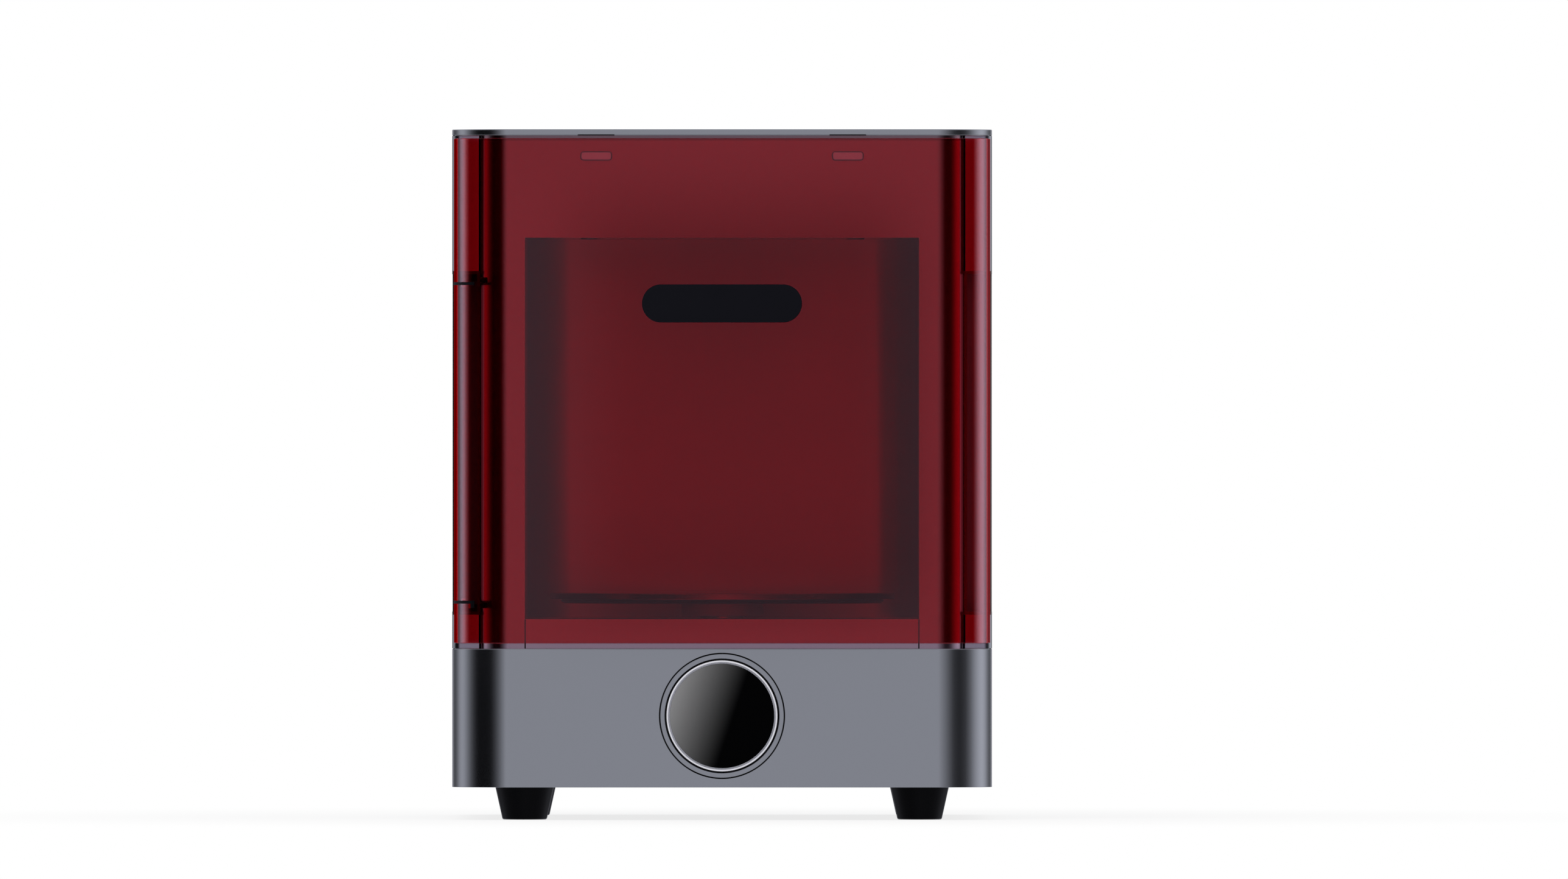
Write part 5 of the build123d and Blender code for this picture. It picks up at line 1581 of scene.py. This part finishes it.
# ------------------------------------------------------------------ studio
@dataclass
class Studio:
    """Camera, plain light and a pale floor, in metres.

    Stops are (compass angle in degrees, brightness); 0 is straight in front and 90 to the right.
    """

    lens: float = 800.0
    sensor: float = 36.0
    clip: Vec2 = (0.5, 200.0)
    view_width: float = 0.7687
    aim: Vec3 = (0.0304, -0.1325, 0.1866)
    floor_radius: float = 0.62
    floor_fade: Vec2 = (0.35, 0.92)  # shares of the radius between which the floor turns to white
    floor_white: float = 0.8  # share of plain white that the camera sees next to the unit
    floor_grey: Colour = (0.94, 0.94, 0.94)
    lamp_place: Vec3 = (-0.9, -1.6, 1.9)
    lamp_turn: Vec3 = (46.0, 0.0, -29.0)
    lamp_size: float = 1.6
    lamp_watts: float = 9.0
    fill: float = 0.85
    card_y: float = -0.25
    card_size: Vec2 = (0.14, 0.4)  # half its width, and its height
    card_x: float = 0.01
    card_z: Vec2 = (0.08, 0.335)
    card_soft: tuple[Vec2, Vec2] = ((0.05, 0.11), (0.05, 0.07))  # across, then at the foot and the head
    card_share: float = 0.24  # share of the light that each face of the card keeps back
    lift: float = 1.3  # how much lighter the plain light above the horizon is than that below
    cool: Colour = (0.955, 0.975, 1.11)  # tint of the light that satin gloss sees
    cold: Colour = (0.97, 0.98, 1.26)  # tint of the light that polished acrylic mirrors
    low_level: Vec2 = (10.0, 15.0)  # degrees below the horizon between which gloss turns to plain
    high_level: Vec2 = (9.0, 17.0)  # the same above the horizon
    satin_stops: tuple[Vec2, ...] = (
        (-180, 0.4), (-156, 0.3), (-146, 0.08), (-131, 0.2), (-120, 0.47), (-111, 0.6), (-102, 0.54),
        (-92, 0.33), (-80, 0.11), (-70, 0.02), (-62, 0.0), (-34, 0.0), (-26, 0.05), (-18, 0.16),
        (-8, 0.38), (-3, 0.54), (3, 0.54), (8, 0.43), (16, 0.31), (25, 0.17), (35, 0.05), (48, 0.02),
        (63, 0.06), (75, 0.22), (89, 0.53), (104, 0.76), (112, 0.76), (122, 0.56), (134, 0.25),
        (148, 0.1), (156, 0.3), (180, 0.4),
    )
    mirror_stops: tuple[Vec2, ...] = (
        (-132, 0.0), (-120, 0.66), (-112, 2.1), (-107, 2.25), (-102, 1.8), (-94.6, 0.45), (-88, 0.04),
        (-85, 0.0), (-11.5, 0.0), (-8, 0.12), (-3, 0.38), (-1, 0.48), (2, 0.48), (5, 0.42), (11, 0.16),
        (17, 0.0), (83, 0.0), (88.7, 0.4), (96, 1.4), (104, 2.4), (112.6, 2.5), (122, 1.4),
        (134, 0.15), (150, 0.0),
    )
    bent_stops: tuple[Vec2, ...] = (
        (-180, 1.0), (-176, 1.0), (-172, 0.04), (-142, 0.04), (-132, 1.0), (132, 1.0), (142, 0.04),
        (172, 0.04), (176, 1.0), (180, 1.0),
    )
    plain_stops: tuple[Vec2, ...] = (
        (-180, 0.42), (-130, 0.42), (-45, 0.32), (0, 0.42), (60, 0.42), (130, 0.52), (180, 0.42),
    )

    def build(self) -> None:
        """Sets the stage up."""
        self.camera()
        self.sky()
        self.lamp()
        self.card()
        self.floor()
        bpy.context.scene.view_settings.view_transform = "Standard"

    def camera(self) -> None:
        """Long lens straight in front, as far off as its frame needs: distance = lens / sensor * width."""
        data = bpy.data.cameras.new("camera")
        data.lens, data.sensor_width = self.lens, self.sensor
        data.clip_start, data.clip_end = self.clip
        camera = linked("camera", data)
        x, y, z = self.aim
        camera.location = (x, y - self.lens / self.sensor * self.view_width, z)
        camera.rotation_euler = (math.pi / 2, 0.0, 0.0)
        bpy.context.scene.camera = camera

    def sky(self) -> None:
        """White to the eye; to gloss, upright strips by compass angle; to matt surfaces, an even fill."""
        world = bpy.data.worlds.new("studio")
        bpy.context.scene.world = world
        world.use_nodes = True
        world.cycles.sampling_method = "NONE"
        tree = Tree(world.node_tree)
        direction = tree.node("TexCoord", output="Generated")
        x, y, z = (tree.axis(direction, name) for name in "XYZ")
        angle = x.maths("ARCTAN2", x, -y) / (2 * math.pi) + 0.5
        passes = tree.ray("Transmission Depth")
        sharp = tree.ray("Is Singular Ray") * (1.0 - (passes > 2.5))
        low, high = (-z).ease(*self.sines(self.low_level)), z.ease(*self.sines(self.high_level))
        level = low + high
        strips = self.ring(tree, angle, self.satin_stops) * (1.0 - sharp)
        strips = strips + self.ring(tree, angle, self.mirror_stops) * sharp
        even = self.ring(tree, angle, self.plain_stops) * (low + high * self.lift)
        gloss = strips * (1.0 - level) + even
        glossy = tree.ray("Glossy Depth") > 0.5
        diffuse = tree.ray("Diffuse Depth") > 0.5
        bent = self.ring(tree, angle, self.bent_stops) * (1.0 - level) + level
        plain = 1.0 - (passes > 0.5) * (1.0 - bent)
        seen = plain * (1.0 - glossy) + glossy * gloss
        tint = tree.blend(sharp, solid_colour(self.cool), solid_colour(self.cold))
        tint = tree.blend(glossy, solid_colour(WHITE), tint)
        strength = seen * (1.0 - diffuse) + diffuse * self.fill
        background = tree.node("Background", inputs={"Color": tint, "Strength": strength})
        tree.node("OutputWorld", inputs={"Surface": background})

    @staticmethod
    def sines(angles: Vec2) -> Vec2:
        """Heights on the unit sphere of two elevations in degrees."""
        first, last = (math.sin(math.radians(angle)) for angle in angles)
        return first, last

    @staticmethod
    def ring(tree: Tree, angle: Wire, stops: Sequence[Vec2]) -> Wire:
        """Brightness by compass angle: straight runs between the stops.

        Args:
            tree: The tree to fill.
            angle: The compass angle, 0 to 1 for -180 to 180 degrees.
            stops: (degrees, brightness) of each stop.

        Returns:
            The brightness.
        """
        peak = max(value for _, value in stops)
        places = [(place / 360.0 + 0.5, value / peak) for place, value in stops]
        return tree.node("ValToRGB", {"stops": places}, {"Fac": angle}) * peak

    def lamp(self) -> None:
        """One wide soft lamp above the front left, which gloss doesn't see."""
        data = bpy.data.lights.new("soft_lamp", "AREA")
        data.shape = "DISK"
        data.size = self.lamp_size
        data.energy = self.lamp_watts
        lamp = linked("soft_lamp", data)
        lamp.location = self.lamp_place
        lamp.rotation_euler = tuple(math.radians(angle) for angle in self.lamp_turn)
        lamp.visible_glossy = False

    def card(self) -> None:
        """Soft black card hung before the door, which only gloss sees and which calms its middle."""
        half, height = (size / METRE for size in self.card_size)
        front = self.card_y / METRE
        card = new_object("soft_flag", block((-half, front, 0.0), (half, front + 1.0, height)))
        material, tree = new_material("soft_black_card")
        place = tree.place()
        across, upward = tree.axis(place, "X"), tree.axis(place, "Z")
        (low, high), (side, (foot, head)) = self.card_z, self.card_soft
        wide = 1.0 - abs(across - self.card_x).ease(*side)
        tall = upward.ease(low, low + foot) * (1.0 - upward.ease(high - head, high))
        through, black = tree.node("BsdfTransparent"), tree.plain("BsdfDiffuse", BLACK)
        surface = tree.mix(wide * tall * self.card_share, through, black)
        tree.node("OutputMaterial", inputs={"Surface": surface})
        card.data.materials.append(material)
        for ray in ("camera", "diffuse", "volume_scatter", "shadow"):
            setattr(card, f"visible_{ray}", False)

    def floor(self) -> None:
        """Pale disc that keeps the unit's shadow near it and turns to plain white at its rim."""
        plan = Disc(self.floor_radius / METRE)
        disc = new_object("floor", prism(plan, Facing.UP, ORIGIN, -2.0, -0.05))
        material, tree = new_material("pale_floor")
        start, stop = (self.floor_radius * share for share in self.floor_fade)
        fade = tree.length(tree.place()).ease(start, stop)
        share = (self.floor_white + fade * (1.0 - self.floor_white)) * tree.ray("Is Camera Ray")
        matt, white = tree.plain("BsdfDiffuse", self.floor_grey), tree.plain("Emission", WHITE)
        tree.node("OutputMaterial", inputs={"Surface": tree.mix(share, matt, white)})
        disc.data.materials.append(material)
        disc.visible_glossy = False


def main() -> None:
    """Builds the stage and every assembly in order, and reports each piece."""
    logging.basicConfig(level=logging.INFO, format="%(name)s: %(message)s")
    Studio().build()
    for assembly in (Base(), Knob(), Cabinet(), Chamber(), Rear(), Door(), Kept()):
        assembly.build()
        for piece in assembly.pieces:
            LOG.info("%s %s: %d faces", type(assembly).__name__, piece.name, len(piece.data.polygons))


if __name__ == "__main__":
    main()
